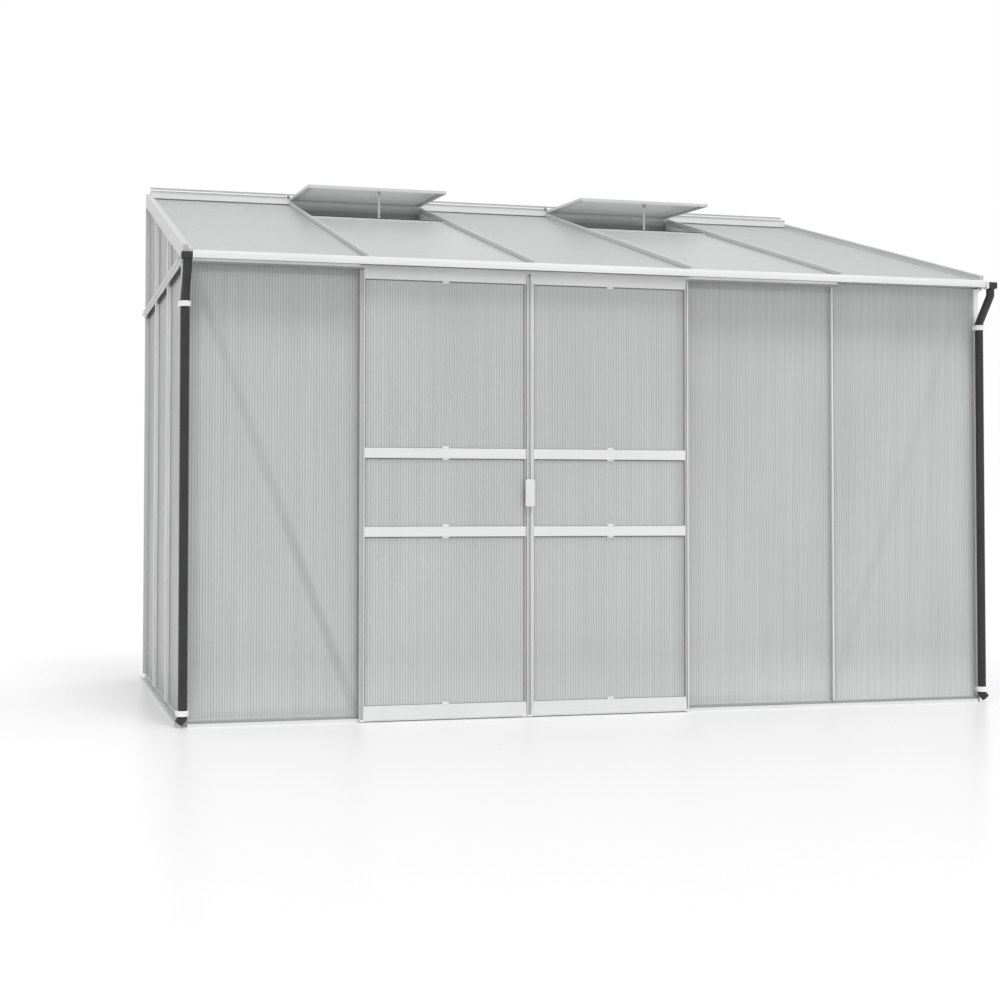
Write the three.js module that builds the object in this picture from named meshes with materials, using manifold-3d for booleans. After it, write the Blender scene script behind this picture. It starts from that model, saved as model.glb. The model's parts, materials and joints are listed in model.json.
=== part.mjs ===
// Lean-to greenhouse. Millimetres, +Z up. The front looks towards -Y, the open back stands
// against a wall towards +Y, left is -X. Lengths along the roof run up the slope from the point
// above the front glazing plane; heights over the roof are taken square to its glazing plane.

import * as THREE from 'three';
import { mergeVertices } from 'three/addons/utils/BufferGeometryUtils.js';
import Module from 'manifold-3d';

const wasm = await Module();
wasm.setup();

// Layout
const bay = { pitch: 620, frontCount: 5, sideCount: 3, frontMargin: 10, sideMargin: 20 };
const roof = { angle: THREE.MathUtils.degToRad(14.7), eaveHeight: 1690 };

// Clearances: seat between touching pieces, slack at sheet edges, overrun of cutting tools
const seat = 0.3;
const slack = 2;
const overrun = 5;

// Twin-wall sheet, held 8 mm deep in the grooves of doors and vents
const sheet = { thick: 6, grip: 8 };

// Glazing bar section: nose outside, bead at its tip, flange behind the sheets, bolt slot inside
const bar = {
  nose: 18, beadWide: 7, beadDeep: 5, beadChamfer: 1.5, stem: 4,
  flangeWide: 32, flangeThick: 2, web: 3,
  inner: 48, slotWide: 16, slotDeep: 9, slotWall: 2, slotMouth: 7,
};

// Sill section: hollow base, drip lip in front, upright behind the bars
const sill = {
  height: 22, wall: 2, lip: 28, lipHeight: 12, riser: 8, upright: 45,
  cornerCut: 28, uprightCut: 78,
};

// Corner and wall posts: square tube at the corner with flanges behind the sheets
const post = { tube: 20, wall: 2, proud: 2, flange: 28, returnLeg: 47, wallLeg: 46 };

// Gutter section: it is also the eave beam
const gutter = {
  reach: 122, drop: 22, face: 27, rise: 8, wall: 2.5, bead: 6, leg: 38, endInset: 32,
  endPlate: 2.5, plateFlat: 22,
};

// Ridge section, its face stands in front of the wall and carries the hinge bead of the vents
const ridge = {
  setback: 51, legSetback: 28, wall: 2.5, face: 31, rise: 17.5, fall: 8, upstand: 12, skirt: 6,
  bead: 4, beadBack: 2, beadUp: 2.5, noseGap: 3, sheetGap: 5,
};

// Roof members
const eave = { bar: 100, sheet: 96, gable: 46, webBack: 14 };
const gable = { wall: 2, flange: 43, skirt: 40, capStrip: 18, top: 5 };
const eaveRail = {
  web: 3, drop: 58, height: 36, dripUp: 8, dripThick: 6, dripReach: 14, lipDown: 6,
  lipThick: 4, lipReach: 9,
};
const brace = { wide: 34, thick: 3, topIn: 48, topDown: 66, footIn: 14, footUp: 32, hole: 7, edge: 20 };

// Sliding doors and their track
const door = {
  meetBar: 2, overLeft: 13.5, overRight: 8, gap: 1.5, meetShift: 11.25, front: 52, depth: 20,
  stile: 16, slimStile: 6.5, slimWall: 2, wideStile: 27.5, bead: 5, recess: 4, channel: 9,
  bottom: 9, bottomRail: 49, midLow: 665, midHigh: 950, midRail: 36.5, header: 32, topDown: 19,
  coverDown: 3, cover: 2, hangerInset: 90, hangerWide: 30, hangerThick: 2, wheel: 5.5, wheelEnd: 0.5,
};
const track = {
  top: 2, front: 46, back: 22, wall: 2, height: 16.7, ledge: 4, ledgeThick: 2,
  leftInset: 18, rightOver: 10,
};
const handle = {
  left: 7, wide: 35, low: 776, high: 876, base: 3, baseWide: 26, reach: 20, grip: 8, post: 12,
};

// Roof vents and their stays
const vent = {
  bays: [2, 4], sideGap: 4, length: 547, topGap: 6, thick: 12, rail: 22,
  openTilt: THREE.MathUtils.degToRad(3.05), hook: 2, hookFoot: 3,
  sillAhead: 3, sillWide: 24, sillUp: 7, sillLip: 2, pegLong: 3, peg: 2.5,
};
const stay = {
  aside: 15, inset: 55, drop: 9.5, knuckle: 6, pin: 2.5, wide: 10, thick: 3, length: 235, holes: 7,
  hole: 2.9, holePitch: 28, firstHole: 34, ear: 3, plate: 3, plateInset: 7, earHalf: 6,
};

// Downpipes: outlet box on the gutter's end, swan neck, pipe, clips and shoe
const outlet = { front: 136, back: 96, wide: 42.4, lowDown: 33, highDown: 7, wall: 2.5 };
const pipe = {
  radius: 16, bore: 14, y: -27, neckY: -115, neckDown: 24, kneeDown: 60, joinDown: 162, footZ: 38,
  shoeOut: 8, shoeZ: 13, bend: 18, footBend: 17,
};
const clip = { half: 23, height: 20, highDown: 179, low: 50, front: 3, corner: 8, bore: 15 };
const socket = { radius: 18, under: 6, over: 10 };

// Counts of facets
const facets = { pipe: 20, bend: 4, bead: 16, hook: 5, knuckle: 16, hole: 10, wheel: 20, corner: 4 };

// Derived places
const halfPane = bay.frontCount * bay.pitch / 2 + bay.frontMargin;
const halfWidth = halfPane + bar.nose;
const depth = bay.sideCount * bay.pitch + bay.sideMargin;
const flangeFace = sheet.thick + seat;
const flangeBack = flangeFace + bar.flangeThick;
const sillTop = sill.height + seat;
const gutterTop = roof.eaveHeight - gutter.drop;
const gutterUnder = gutterTop - gutter.face + gutter.rise;
const gutterHalf = halfWidth - gutter.endInset;
const pipeX = gutterHalf + seat + outlet.wide / 2;
const paneTop = gutterUnder - 2 * seat;
const frontBarX = (k) => (k - bay.frontCount / 2) * bay.pitch;
const sideBarY = (k) => k * bay.pitch + bay.sideMargin;

// Roof geometry: height of the plane that lies n over the glazing plane, at a distance y
const slopeCos = Math.cos(roof.angle);
const slopeSin = Math.sin(roof.angle);
const slopeTan = Math.tan(roof.angle);
const roofHeight = (y, n) => roof.eaveHeight + y * slopeTan + n / slopeCos;
const alongRoof = (y, n) => (y + n * slopeSin) / slopeCos;

// Materials
const aluminium = () => new THREE.MeshStandardMaterial({ color: 0xe4e6e5, roughness: 0.42, metalness: 0.35 });
const twinwall = () => new THREE.MeshStandardMaterial({
  color: 0xc4c9c7, roughness: 0.35, metalness: 0, transparent: true, opacity: 0.75,
});
const blackPlastic = () => new THREE.MeshStandardMaterial({ color: 0x2e2f30, roughness: 0.45, metalness: 0 });
const whitePlastic = () => new THREE.MeshStandardMaterial({ color: 0xe6e7e6, roughness: 0.4, metalness: 0 });

// Solids
function toSolid(geometry) {
  const plain = geometry.clone();
  plain.deleteAttribute('normal');
  plain.deleteAttribute('uv');
  const merged = mergeVertices(plain);
  return new wasm.Manifold(new wasm.Mesh({
    numProp: 3,
    vertProperties: new Float32Array(merged.attributes.position.array),
    triVerts: new Uint32Array(merged.index.array),
  }));
}

function toGeometry(solid) {
  const mesh = solid.getMesh();
  const geometry = new THREE.BufferGeometry();
  geometry.setAttribute('position', new THREE.BufferAttribute(new Float32Array(mesh.vertProperties), 3));
  geometry.setIndex(new THREE.BufferAttribute(new Uint32Array(mesh.triVerts), 1));
  const flat = geometry.toNonIndexed();
  flat.computeVertexNormals();
  return flat;
}

function fuse(...geometries) {
  return toGeometry(geometries.map(toSolid).reduce((sum, next) => sum.add(next)));
}

function carve(geometry, ...tools) {
  return toGeometry(tools.map(toSolid).reduce((rest, tool) => rest.subtract(tool), toSolid(geometry)));
}

// Box between two corners
function block(lo, hi) {
  const size = hi.map((value, i) => value - lo[i]);
  const mid = hi.map((value, i) => (value + lo[i]) / 2);
  return new THREE.BoxGeometry(...size).translate(...mid);
}

// Outline swept straight along an axis; the outline gives [y, z], [x, z] or [x, y]
const axisBasis = {
  x: new THREE.Matrix4().set(0, 0, 1, 0, 1, 0, 0, 0, 0, 1, 0, 0, 0, 0, 0, 1),
  y: new THREE.Matrix4().set(0, 1, 0, 0, 0, 0, 1, 0, 1, 0, 0, 0, 0, 0, 0, 1),
  z: new THREE.Matrix4(),
};

function sweep(axis, outline, from, to) {
  const point = ([a, b]) => (axis === 'y' ? new THREE.Vector2(b, a) : new THREE.Vector2(a, b));
  const shape = new THREE.Shape(outline.map(point));
  const geometry = new THREE.ExtrudeGeometry(shape, { depth: to - from, bevelEnabled: false });
  return geometry.translate(0, 0, from).applyMatrix4(axisBasis[axis]);
}

function prism(axis, outline, from, to, holes = []) {
  const tools = holes.map((hole) => sweep(axis, hole, from - overrun, to + overrun));
  const body = sweep(axis, outline, from, to);
  return tools.length ? carve(body, ...tools) : body;
}

function rectangle(a0, b0, a1, b1) {
  return [[a0, b0], [a1, b0], [a1, b1], [a0, b1]];
}

function arc(centre, radius, fromDegrees, toDegrees, steps) {
  return Array.from({ length: steps + 1 }, (_, i) => {
    const angle = THREE.MathUtils.degToRad(fromDegrees + (toDegrees - fromDegrees) * i / steps);
    return [centre[0] + radius * Math.cos(angle), centre[1] + radius * Math.sin(angle)];
  });
}

function circle(centre, radius, steps) {
  return arc(centre, radius, 0, 360, steps).slice(0, -1);
}

// Cylinder along an axis between two places on it
function rod(axis, centre, radius, from, to, steps) {
  return prism(axis, circle(centre, radius, steps), from, to);
}

const meshOf = (name, geometry, material) => {
  const mesh = new THREE.Mesh(geometry, material);
  mesh.name = name;
  return mesh;
};

// Glazing bar outline: [across, outward], zero at the sheets' outer face
function barOutline() {
  const half = [
    [bar.beadWide / 2 - bar.beadChamfer, bar.nose],
    [bar.beadWide / 2, bar.nose - bar.beadChamfer],
    [bar.beadWide / 2, bar.nose - bar.beadDeep],
    [bar.stem / 2, bar.nose - bar.beadDeep],
    [bar.stem / 2, -flangeFace],
    [bar.flangeWide / 2, -flangeFace],
    [bar.flangeWide / 2, -flangeBack],
    [bar.web / 2, -flangeBack],
    [bar.web / 2, bar.slotDeep - bar.inner],
    [bar.slotWide / 2, bar.slotDeep - bar.inner],
    [bar.slotWide / 2, -bar.inner],
    [bar.slotMouth / 2, -bar.inner],
    [bar.slotMouth / 2, bar.slotWall - bar.inner],
    [bar.slotWide / 2 - bar.slotWall, bar.slotWall - bar.inner],
    [bar.slotWide / 2 - bar.slotWall, bar.slotDeep - bar.slotWall - bar.inner],
  ];
  return [...half, ...half.map(([u, o]) => [-u, o]).reverse()];
}

// Space above the gable rafters' skirts, which the side bars and posts stay out of
function aboveGable(n) {
  const reach = halfWidth * 2;
  const geometry = block([-reach, -depth, n], [reach, depth * 2, n + depth]);
  geometry.rotateX(roof.angle);
  return geometry.translate(0, 0, roof.eaveHeight);
}

// Front sill: full section between the corners, its lip cut back where the corner posts stand
function frontSill() {
  const w = sill.wall;
  const back = bar.inner + seat + w;
  const outline = [
    [-sill.lip, 0], [back, 0], [back, sill.upright], [back - w, sill.upright],
    [back - w, sill.height], [-sill.riser, sill.height], [-sill.riser, w + seat],
    [w - sill.lip, w + seat], [w - sill.lip, sill.lipHeight], [-sill.lip, sill.lipHeight],
  ];
  const hole = rectangle(w - sill.riser, w, back - w, sill.height - w);
  const end = halfPane + sill.riser;
  const lipEnd = halfWidth - sill.cornerCut;
  const uprightEnd = halfWidth - sill.uprightCut;
  const tools = [-1, 1].flatMap((side) => [
    block([side < 0 ? -end - overrun : lipEnd, -sill.lip - overrun, -overrun],
      [side < 0 ? -lipEnd : end + overrun, -sill.riser, sill.height]),
    block([side < 0 ? -end - overrun : uprightEnd, back - w - overrun, sill.height],
      [side < 0 ? -uprightEnd : end + overrun, back + overrun, sill.upright + overrun]),
  ]);
  return carve(prism('x', outline, -end, end, [hole]), ...tools);
}

// Side sill from behind the front sill to the wall
function sideSill(side) {
  const w = sill.wall;
  const inner = bar.inner + seat + w;
  const x = (o) => side * (halfPane + o);
  const outline = [
    [x(sill.lip), 0], [x(-inner), 0], [x(-inner), sill.upright], [x(w - inner), sill.upright],
    [x(w - inner), sill.height], [x(sill.riser), sill.height], [x(sill.riser), w + seat],
    [x(sill.lip - w), w + seat], [x(sill.lip - w), sill.lipHeight], [x(sill.lip), sill.lipHeight],
  ];
  const hole = rectangle(x(sill.riser - w), w, x(w - inner), sill.height - w);
  return prism('y', outline, inner + seat, depth, [hole]);
}

// Corner post: tube, flanges behind both sheets and a return leg for the brace
function cornerPost(side) {
  const t = post.tube;
  const w = post.wall;
  const x = (u) => side * (halfWidth - u);
  const leg = bar.nose + flangeFace;
  const back = bar.inner + seat + w;
  const rear = t - post.proud;
  const outline = [
    [x(0), -post.proud], [x(t), -post.proud], [x(t), flangeFace], [x(t + post.flange), flangeFace],
    [x(t + post.flange), flangeBack], [x(t), flangeBack], [x(t), rear - w], [x(leg + w), rear - w],
    [x(leg + w), back - w], [x(leg + w + post.returnLeg), back - w],
    [x(leg + w + post.returnLeg), back], [x(leg), back], [x(leg), rear], [x(0), rear],
  ];
  const hole = rectangle(x(w), w - post.proud, x(t - w), rear - w);
  const body = prism('z', outline, sillTop, gutterUnder - seat, [hole]);
  return carve(body, aboveGable(-gable.skirt - seat));
}

// Wall post: tube at the wall, flange behind the rear side sheet, leg screwed to the wall
function wallPost(side) {
  const t = post.tube;
  const w = post.wall;
  const x = (u) => side * (halfWidth - u);
  const leg = bar.nose + flangeFace;
  const front = depth - t;
  const outline = [
    [x(0), front], [x(t), front], [x(leg), front], [x(leg), front - post.flange],
    [x(leg + w), front - post.flange], [x(leg + w), front + w], [x(t), front + w],
    [x(t), depth - w], [x(t + post.wallLeg), depth - w], [x(t + post.wallLeg), depth], [x(0), depth],
  ];
  const hole = rectangle(x(w), front + w, x(t - w), depth - w);
  const body = prism('z', outline, sillTop, roofHeight(depth, 0), [hole]);
  const inward = [x(t), x(leg + post.wallLeg + overrun)];
  const ridgeSpace = block(
    [Math.min(...inward), depth - ridge.legSetback - seat, ridgeBottom - seat],
    [Math.max(...inward), depth + overrun, roofHeight(depth, bar.nose)],
  );
  return carve(body, aboveGable(-gable.skirt - seat), ridgeSpace);
}

// Upright glazing bar of the front wall, its inner part cut below the gutter's leg
function frontBar(x) {
  const outline = barOutline().map(([u, o]) => [x + u, -o]);
  const body = prism('z', outline, sillTop, gutterUnder - seat);
  const wide = bar.flangeWide;
  const legBottom = gutterUnder - gutter.leg - seat;
  return carve(body, block([x - wide, flangeBack, legBottom], [x + wide, depth, gutterUnder + overrun]));
}

// Upright glazing bar of a side wall, cut along the slope under the gable rafter
function sideBar(side, y) {
  const outline = barOutline().map(([u, o]) => [side * (halfPane + o), y + u]);
  const body = prism('z', outline, sillTop, roofHeight(depth, 0));
  return carve(body, aboveGable(-gable.skirt - seat));
}

// Horizontal rail across the outside of a side wall at eave height
function sideEaveRail(side) {
  const e = eaveRail;
  const x = (o) => side * (halfWidth + seat + o);
  const low = roof.eaveHeight - e.drop;
  const high = low + e.height;
  const drip = low + e.dripUp;
  const lip = high - e.lipDown;
  const outline = [
    [x(0), low], [x(e.web), low], [x(e.web), drip], [x(e.dripReach), drip],
    [x(e.dripReach), drip + e.dripThick], [x(e.web), drip + e.dripThick], [x(e.web), lip - e.lipThick],
    [x(e.lipReach), lip - e.lipThick], [x(e.lipReach), lip], [x(e.web), lip], [x(e.web), high],
    [x(0), high],
  ];
  return prism('y', outline, -post.proud, depth);
}

// Gutter: front face with bead, floor, back wall under the roof bars, leg behind the front sheets
function gutterBeam() {
  const g = gutter;
  const low = gutterTop - g.face;
  const floor = gutterUnder + g.wall;
  const back = -bar.nose;
  const backTop = roofHeight(back - g.wall, -flangeBack) - seat;
  const leg = flangeBack + seat;
  const outline = [
    [-g.reach, low], [-g.reach, gutterTop], [g.wall - g.reach, gutterTop], [g.wall - g.reach, floor],
    [back - g.wall, floor], [back - g.wall, backTop], [back, backTop], [back, floor],
    [leg + g.wall, floor], [leg + g.wall, gutterUnder - g.leg], [leg, gutterUnder - g.leg],
    [leg, gutterUnder], [g.bead - g.reach, gutterUnder], [g.bead - g.reach, low],
  ];
  const slopeAt = g.plateFlat - g.reach;
  const underSheets = (y) => roofHeight(y, -flangeBack - seat);
  const plate = [
    [-g.reach, low], [-g.reach, gutterTop], [slopeAt, gutterTop], [slopeAt, underSheets(slopeAt)],
    [back - g.wall, backTop], [back, backTop], [back, gutterUnder], [g.bead - g.reach, gutterUnder],
    [g.bead - g.reach, low],
  ];
  const mouth = rectangle(g.wall - g.reach, floor, -outlet.back - outlet.wall, gutterTop - g.endPlate - g.bead);
  const plates = [-gutterHalf, gutterHalf - g.endPlate]
    .map((x) => prism('x', plate, x, x + g.endPlate, [mouth]));
  return fuse(prism('x', outline, -gutterHalf, gutterHalf), ...plates);
}

// Ridge plate: hollow wall section, front canopy over the sheets' ends and the vents' hinge bead
const ridgeFace = depth - ridge.setback;
const ridgeTop = roofHeight(ridgeFace, bar.nose) + ridge.rise;
const hinge = { y: ridgeFace - ridge.beadBack, z: ridgeTop + ridge.beadUp };
const ridgeHalf = halfWidth - post.tube - seat;
const ridgeBottom = roofHeight(depth - ridge.legSetback, -bar.inner) - ridge.skirt;

function ridgePlate() {
  const w = ridge.wall;
  const leg = depth - ridge.legSetback;
  const bottom = ridgeBottom;
  const top = (y) => ridgeTop + ridge.fall * (y - ridgeFace) / (depth - w - ridgeFace);
  const crown = ridgeTop + ridge.fall + ridge.upstand;
  const outline = [
    [ridgeFace, ridgeTop - ridge.face], [ridgeFace, ridgeTop], [depth - w, top(depth - w)],
    [depth - w, crown], [depth, crown], [depth, bottom], [leg, bottom], [leg, top(leg) - w],
    [ridgeFace + w, top(ridgeFace + w) - w], [ridgeFace + w, ridgeTop - ridge.face],
  ];
  const hole = [
    [leg + w, bottom + w], [depth - w, bottom + w], [depth - w, top(depth - w) - w],
    [leg + w, top(leg + w) - w],
  ];
  const bead = rod('x', [hinge.y, hinge.z], ridge.bead, -ridgeHalf, ridgeHalf, facets.bead);
  const body = fuse(prism('x', outline, -ridgeHalf, ridgeHalf, [hole]), bead);
  const sheetSide = halfPane - sheet.thick - seat;
  const notches = [[-ridgeHalf - overrun, -sheetSide], [sheetSide, ridgeHalf + overrun]]
    .map(([x0, x1]) => block([x0, leg - overrun, bottom - overrun], [x1, depth + overrun, roofHeight(depth, 0)]));
  return carve(body, ...notches);
}

// Ends of the roof members at the ridge, as lengths up the slope
const ridgeLeg = depth - ridge.legSetback - seat;
const barEnd = alongRoof(ridgeLeg, -bar.inner);
const noseEnd = alongRoof(ridgeFace, 0) - ridge.noseGap;
const sheetEnd = barEnd - ridge.sheetGap + seat;

// Roof glazing bar in the roof's own frame: web cut away over the gutter, nose under the canopy
function roofBar(x) {
  const outline = barOutline().map(([u, o]) => [x + u, o]);
  const wide = bar.flangeWide;
  return carve(
    prism('y', outline, -eave.bar, barEnd),
    block([x - wide, -eave.bar - overrun, -bar.inner - overrun], [x + wide, eave.webBack, -flangeBack]),
    block([x - wide, noseEnd, slack], [x + wide, barEnd + overrun, bar.nose + overrun]),
  );
}

// Gable rafter in the roof's own frame: tube over the side wall, flange under the roof sheet,
// strip on top of its edge and two skirts that take the side sheets between them
function gableRafter(side) {
  const w = gable.wall;
  const x = (u) => side * (halfWidth - u);
  const t = post.tube;
  const inner = bar.nose + flangeBack + w;
  const outline = [
    [x(0), -gable.skirt], [x(0), bar.nose], [x(t), bar.nose], [x(t), w + seat],
    [x(t + gable.capStrip), w + seat], [x(t + gable.capStrip), seat], [x(t), seat],
    [x(t), -flangeFace], [x(gable.flange), -flangeFace], [x(gable.flange), -flangeBack],
    [x(inner), -flangeBack], [x(inner), -gable.skirt], [x(inner - w), -gable.skirt],
    [x(inner - w), -flangeBack], [x(w), -flangeBack], [x(w), -gable.skirt],
  ];
  const hole = rectangle(x(w), -flangeFace, x(t - w), bar.nose - w);
  const end = alongRoof(depth - seat, -gable.skirt);
  const cap = prism('y', rectangle(x(w / 2), -flangeFace - w / 2, x(t - w / 2), bar.nose - w / 2),
    -eave.gable, w - eave.gable);
  const body = fuse(prism('y', outline, -eave.gable, end, [hole]), cap);
  const near = side * (ridgeHalf + seat);
  const far = side * (halfWidth - gable.flange - overrun);
  const lo = Math.min(near, far);
  const hi = Math.max(near, far);
  const post0 = halfWidth - t;
  const ridgeSpace = block([lo, barEnd - gable.top, -gable.skirt - overrun], [hi, end + overrun, bar.nose + overrun]);
  const gutterFace = [-eave.gable - overrun, eave.webBack];
  const eaveLo = Math.min(side * post0, far);
  const eaveHi = Math.max(side * post0, far);
  const eaveSpace = block([eaveLo, gutterFace[0], -gable.skirt - overrun], [eaveHi, gutterFace[1], -flangeBack]);
  return carve(body, ridgeSpace, eaveSpace);
}

// Sheet in the front wall between two places along it
function frontPane(x0, x1) {
  return block([x0, 0, sillTop], [x1, sheet.thick, paneTop]);
}

// Sheet in a side wall, its top cut along the slope inside the gable rafter
function sidePane(side, y0, y1) {
  const top = (y) => roofHeight(y, -flangeBack - seat);
  const outline = [[y0, sillTop], [y1, sillTop], [y1, top(y1)], [y0, top(y0)]];
  const outer = side * halfPane;
  const inner = side * (halfPane - sheet.thick);
  return prism('x', outline, Math.min(outer, inner), Math.max(outer, inner));
}

// Sheet in the roof, in the roof's own frame
function roofPane(x0, x1, end) {
  return block([x0, -eave.sheet, -sheet.thick], [x1, end, 0]);
}

// Edges of the sheets in a front or roof bay
const paneSide = bar.stem / 2 + slack;
const cornerEdge = halfWidth - post.tube - seat;
const bayLeft = (k) => (k === 1 ? -cornerEdge : frontBarX(k - 1) + paneSide);
const bayRight = (k) => (k === bay.frontCount ? cornerEdge : frontBarX(k) - paneSide);

// Flat diagonal brace behind the first or last front bay, with a bolt hole at each end
function diagonalBrace(side) {
  const top = [side * (halfWidth - brace.topIn), gutterUnder - brace.topDown + brace.wide];
  const foot = [side * (Math.abs(frontBarX(1)) + brace.footIn), brace.footUp];
  const run = new THREE.Vector2(foot[0] - top[0], foot[1] - top[1]);
  const length = run.length();
  const half = brace.wide / 2;
  const outline = [
    ...arc([length - half, 0], half, -90, 90, facets.corner),
    ...arc([half, 0], half, 90, 270, facets.corner),
  ];
  const turn = (points) => points.map(([a, b]) => {
    const p = new THREE.Vector2(a, b).rotateAround(new THREE.Vector2(), run.angle());
    return [top[0] + p.x, top[1] + p.y];
  });
  const holes = [brace.edge, length - brace.edge]
    .map((at) => turn(circle([at, 0], brace.hole / 2, facets.hole)));
  const plane = bar.inner + post.wall + 2 * seat;
  return prism('y', turn(outline), plane, plane + brace.thick, holes);
}

// Door track: channel under the gutter with two ledges for the wheels
function doorTrack() {
  const t = track;
  const high = gutterUnder - seat;
  const low = high - t.height;
  const outline = [
    [-t.front, low], [-t.front, high], [-t.back, high], [-t.back, low],
    [-t.back - t.wall - t.ledge, low], [-t.back - t.wall - t.ledge, low + t.ledgeThick],
    [-t.back - t.wall, low + t.ledgeThick], [-t.back - t.wall, high - t.top],
    [t.wall - t.front, high - t.top], [t.wall - t.front, low + t.ledgeThick],
    [t.wall + t.ledge - t.front, low + t.ledgeThick], [t.wall + t.ledge - t.front, low],
  ];
  return prism('x', outline, t.leftInset - halfWidth, frontBarX(bay.frontCount - 1) + t.rightOver);
}

// Each door: its edges, its stiles' widths and how far its sheets reach into each stile. Where the
// doors meet, the left one has a slim stile and the right one a wide stile with the handle.
const doorTop = gutterUnder - door.topDown;
const meeting = frontBarX(door.meetBar) - door.meetShift;
const doors = {
  left: {
    x0: frontBarX(door.meetBar - 1) - door.overLeft, x1: meeting - door.gap / 2,
    stile0: door.stile, stile1: door.slimStile,
    grip0: sheet.grip, grip1: door.slimStile - door.slimWall,
  },
  right: {
    x0: meeting + door.gap / 2, x1: frontBarX(door.meetBar + 1) + door.overRight,
    stile0: door.wideStile, stile1: door.stile, grip0: sheet.grip, grip1: sheet.grip,
  },
};

// Windows of a door: [bottom, top] of each, between its rails
const doorWindows = [
  [door.bottom + door.bottomRail, door.midLow],
  [door.midLow + door.midRail, door.midHigh],
  [door.midHigh + door.midRail, doorTop - door.header],
];
const doorPaneY = -door.front + (door.depth - sheet.thick) / 2;

// Sheet of a door window, or the groove that takes it when a margin is given
function doorPane(leaf, [z0, z1], margin = 0) {
  const grow = sheet.grip + margin;
  return block(
    [leaf.x0 + leaf.stile0 - leaf.grip0 - margin, doorPaneY - margin, z0 - grow],
    [leaf.x1 - leaf.stile1 + leaf.grip1 + margin, doorPaneY + sheet.thick + margin, z1 + grow],
  );
}

// Recesses in the fronts of a door's stiles: a channel behind the wide stile's bead, a set-back
// face beside the bead of an outer stile, and the slim stile set back between the rails
function stileRecesses(leaf) {
  const cut = (a, b, z0 = door.bottom - overrun, z1 = doorTop + overrun) => block(
    [Math.min(a, b), -door.front - overrun, z0], [Math.max(a, b), door.recess - door.front, z1],
  );
  return [[leaf.x0, leaf.stile0, 1], [leaf.x1, leaf.stile1, -1]].flatMap(([edge, wide, way]) => {
    const outside = edge - way * overrun;
    if (wide === door.slimStile) {
      return doorWindows.map(([z0, z1]) => cut(outside, edge + way * wide, z0, z1));
    }
    if (wide === door.stile) return [cut(outside, edge + way * (wide - door.bead))];
    return [cut(edge + way * door.bead, edge + way * (door.bead + door.channel))];
  });
}

// Door frame: stiles and rails, cover strip in front of the track and two wheel hangers
function doorFrame(leaf) {
  const { x0, x1, stile0, stile1 } = leaf;
  const front = -door.front;
  const back = front + door.depth;
  const windows = doorWindows.map(([z0, z1]) => rectangle(x0 + stile0, z0, x1 - stile1, z1));
  const body = prism('y', rectangle(x0, door.bottom, x1, doorTop), front, back, windows);
  const cover = block([x0, front, doorTop - door.cover], [x1, front + door.cover, gutterUnder - door.coverDown]);
  const ledge = gutterUnder - seat - track.height + track.ledgeThick;
  const axle = ledge + seat + door.wheel;
  const middle = -(track.front + track.back) / 2;
  const wheelHalf = (track.front - track.back) / 2 - track.wall - door.wheelEnd;
  const hangers = [x0 + door.hangerInset, x1 - door.hangerInset].flatMap((x) => [
    block([x - door.hangerWide / 2, middle - door.hangerThick / 2, doorTop - door.cover],
      [x + door.hangerWide / 2, middle + door.hangerThick / 2, axle]),
    ...[-1, 1].map((end) => rod('y', [x + end * (door.hangerWide / 2 - door.wheel), axle], door.wheel,
      middle - wheelHalf, middle + wheelHalf, facets.wheel)),
  ]);
  const grooves = doorWindows.map((window) => doorPane(leaf, window, seat));
  return carve(fuse(body, cover, ...hangers), ...grooves, ...stileRecesses(leaf));
}

// Door handle on the right door's closing stile: base plate, two short posts and a grip
function doorHandle() {
  const h = handle;
  const right = doors.right.x0 - h.left + h.wide;
  const left = right - h.wide;
  const face = -door.front - seat;
  const bow = [
    [face, h.low], [face, h.low + h.post], [face - h.reach + h.grip, h.low + h.post + h.grip],
    [face - h.reach + h.grip, h.high - h.post - h.grip], [face, h.high - h.post], [face, h.high],
    [face - h.reach / 2, h.high], [face - h.reach, h.high - h.post], [face - h.reach, h.low + h.post],
    [face - h.reach / 2, h.low],
  ];
  const grip = prism('x', bow, right - h.baseWide, right);
  const flap = block([left, face - h.reach, h.low + h.post], [right, face - h.reach + h.grip, h.high - h.post]);
  const base = block([right - h.baseWide, face - h.base, h.low], [right, face, h.high]);
  return fuse(grip, flap, base);
}

const ventWide = bay.pitch - vent.sideGap;
const hingeAlong = hinge.y * slopeCos + (hinge.z - roof.eaveHeight) * slopeSin;
const sillAt = hingeAlong - vent.length - vent.sillAhead;

// Cross bar under the free edge of a vent, in the roof's own frame, with the stay's peg behind it
function ventSill(k) {
  const v = vent;
  const s0 = sillAt;
  const s1 = s0 + v.sillWide;
  const low = seat - flangeFace;
  const outline = [
    [s0, low], [s1, low], [s1, 0], [s0 + v.sillLip, 0], [s0 + v.sillLip, v.sillUp], [s0, v.sillUp],
  ];
  const x0 = frontBarX(k - 1) + bar.stem / 2 + seat;
  const x1 = frontBarX(k) - bar.stem / 2 - seat;
  const pegX = (x0 + x1) / 2 + stay.aside;
  const peg = rod('y', [pegX, low / 2], v.peg, s1 - overrun, s1 + v.pegLong, facets.hole);
  return fuse(prism('x', outline, x0, x1), peg);
}

// A vent is drawn in a frame at its hinge: y up the vent, z square to it. Its middle plane lies
// below the hinge so that the closed frame just clears the noses of the roof bars.
const hingeOver = (hinge.z - roof.eaveHeight) * slopeCos - hinge.y * slopeSin;
const ventMiddle = bar.nose + seat + vent.thick / 2 - hingeOver;
const ventUnder = ventMiddle - vent.thick / 2;

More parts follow.
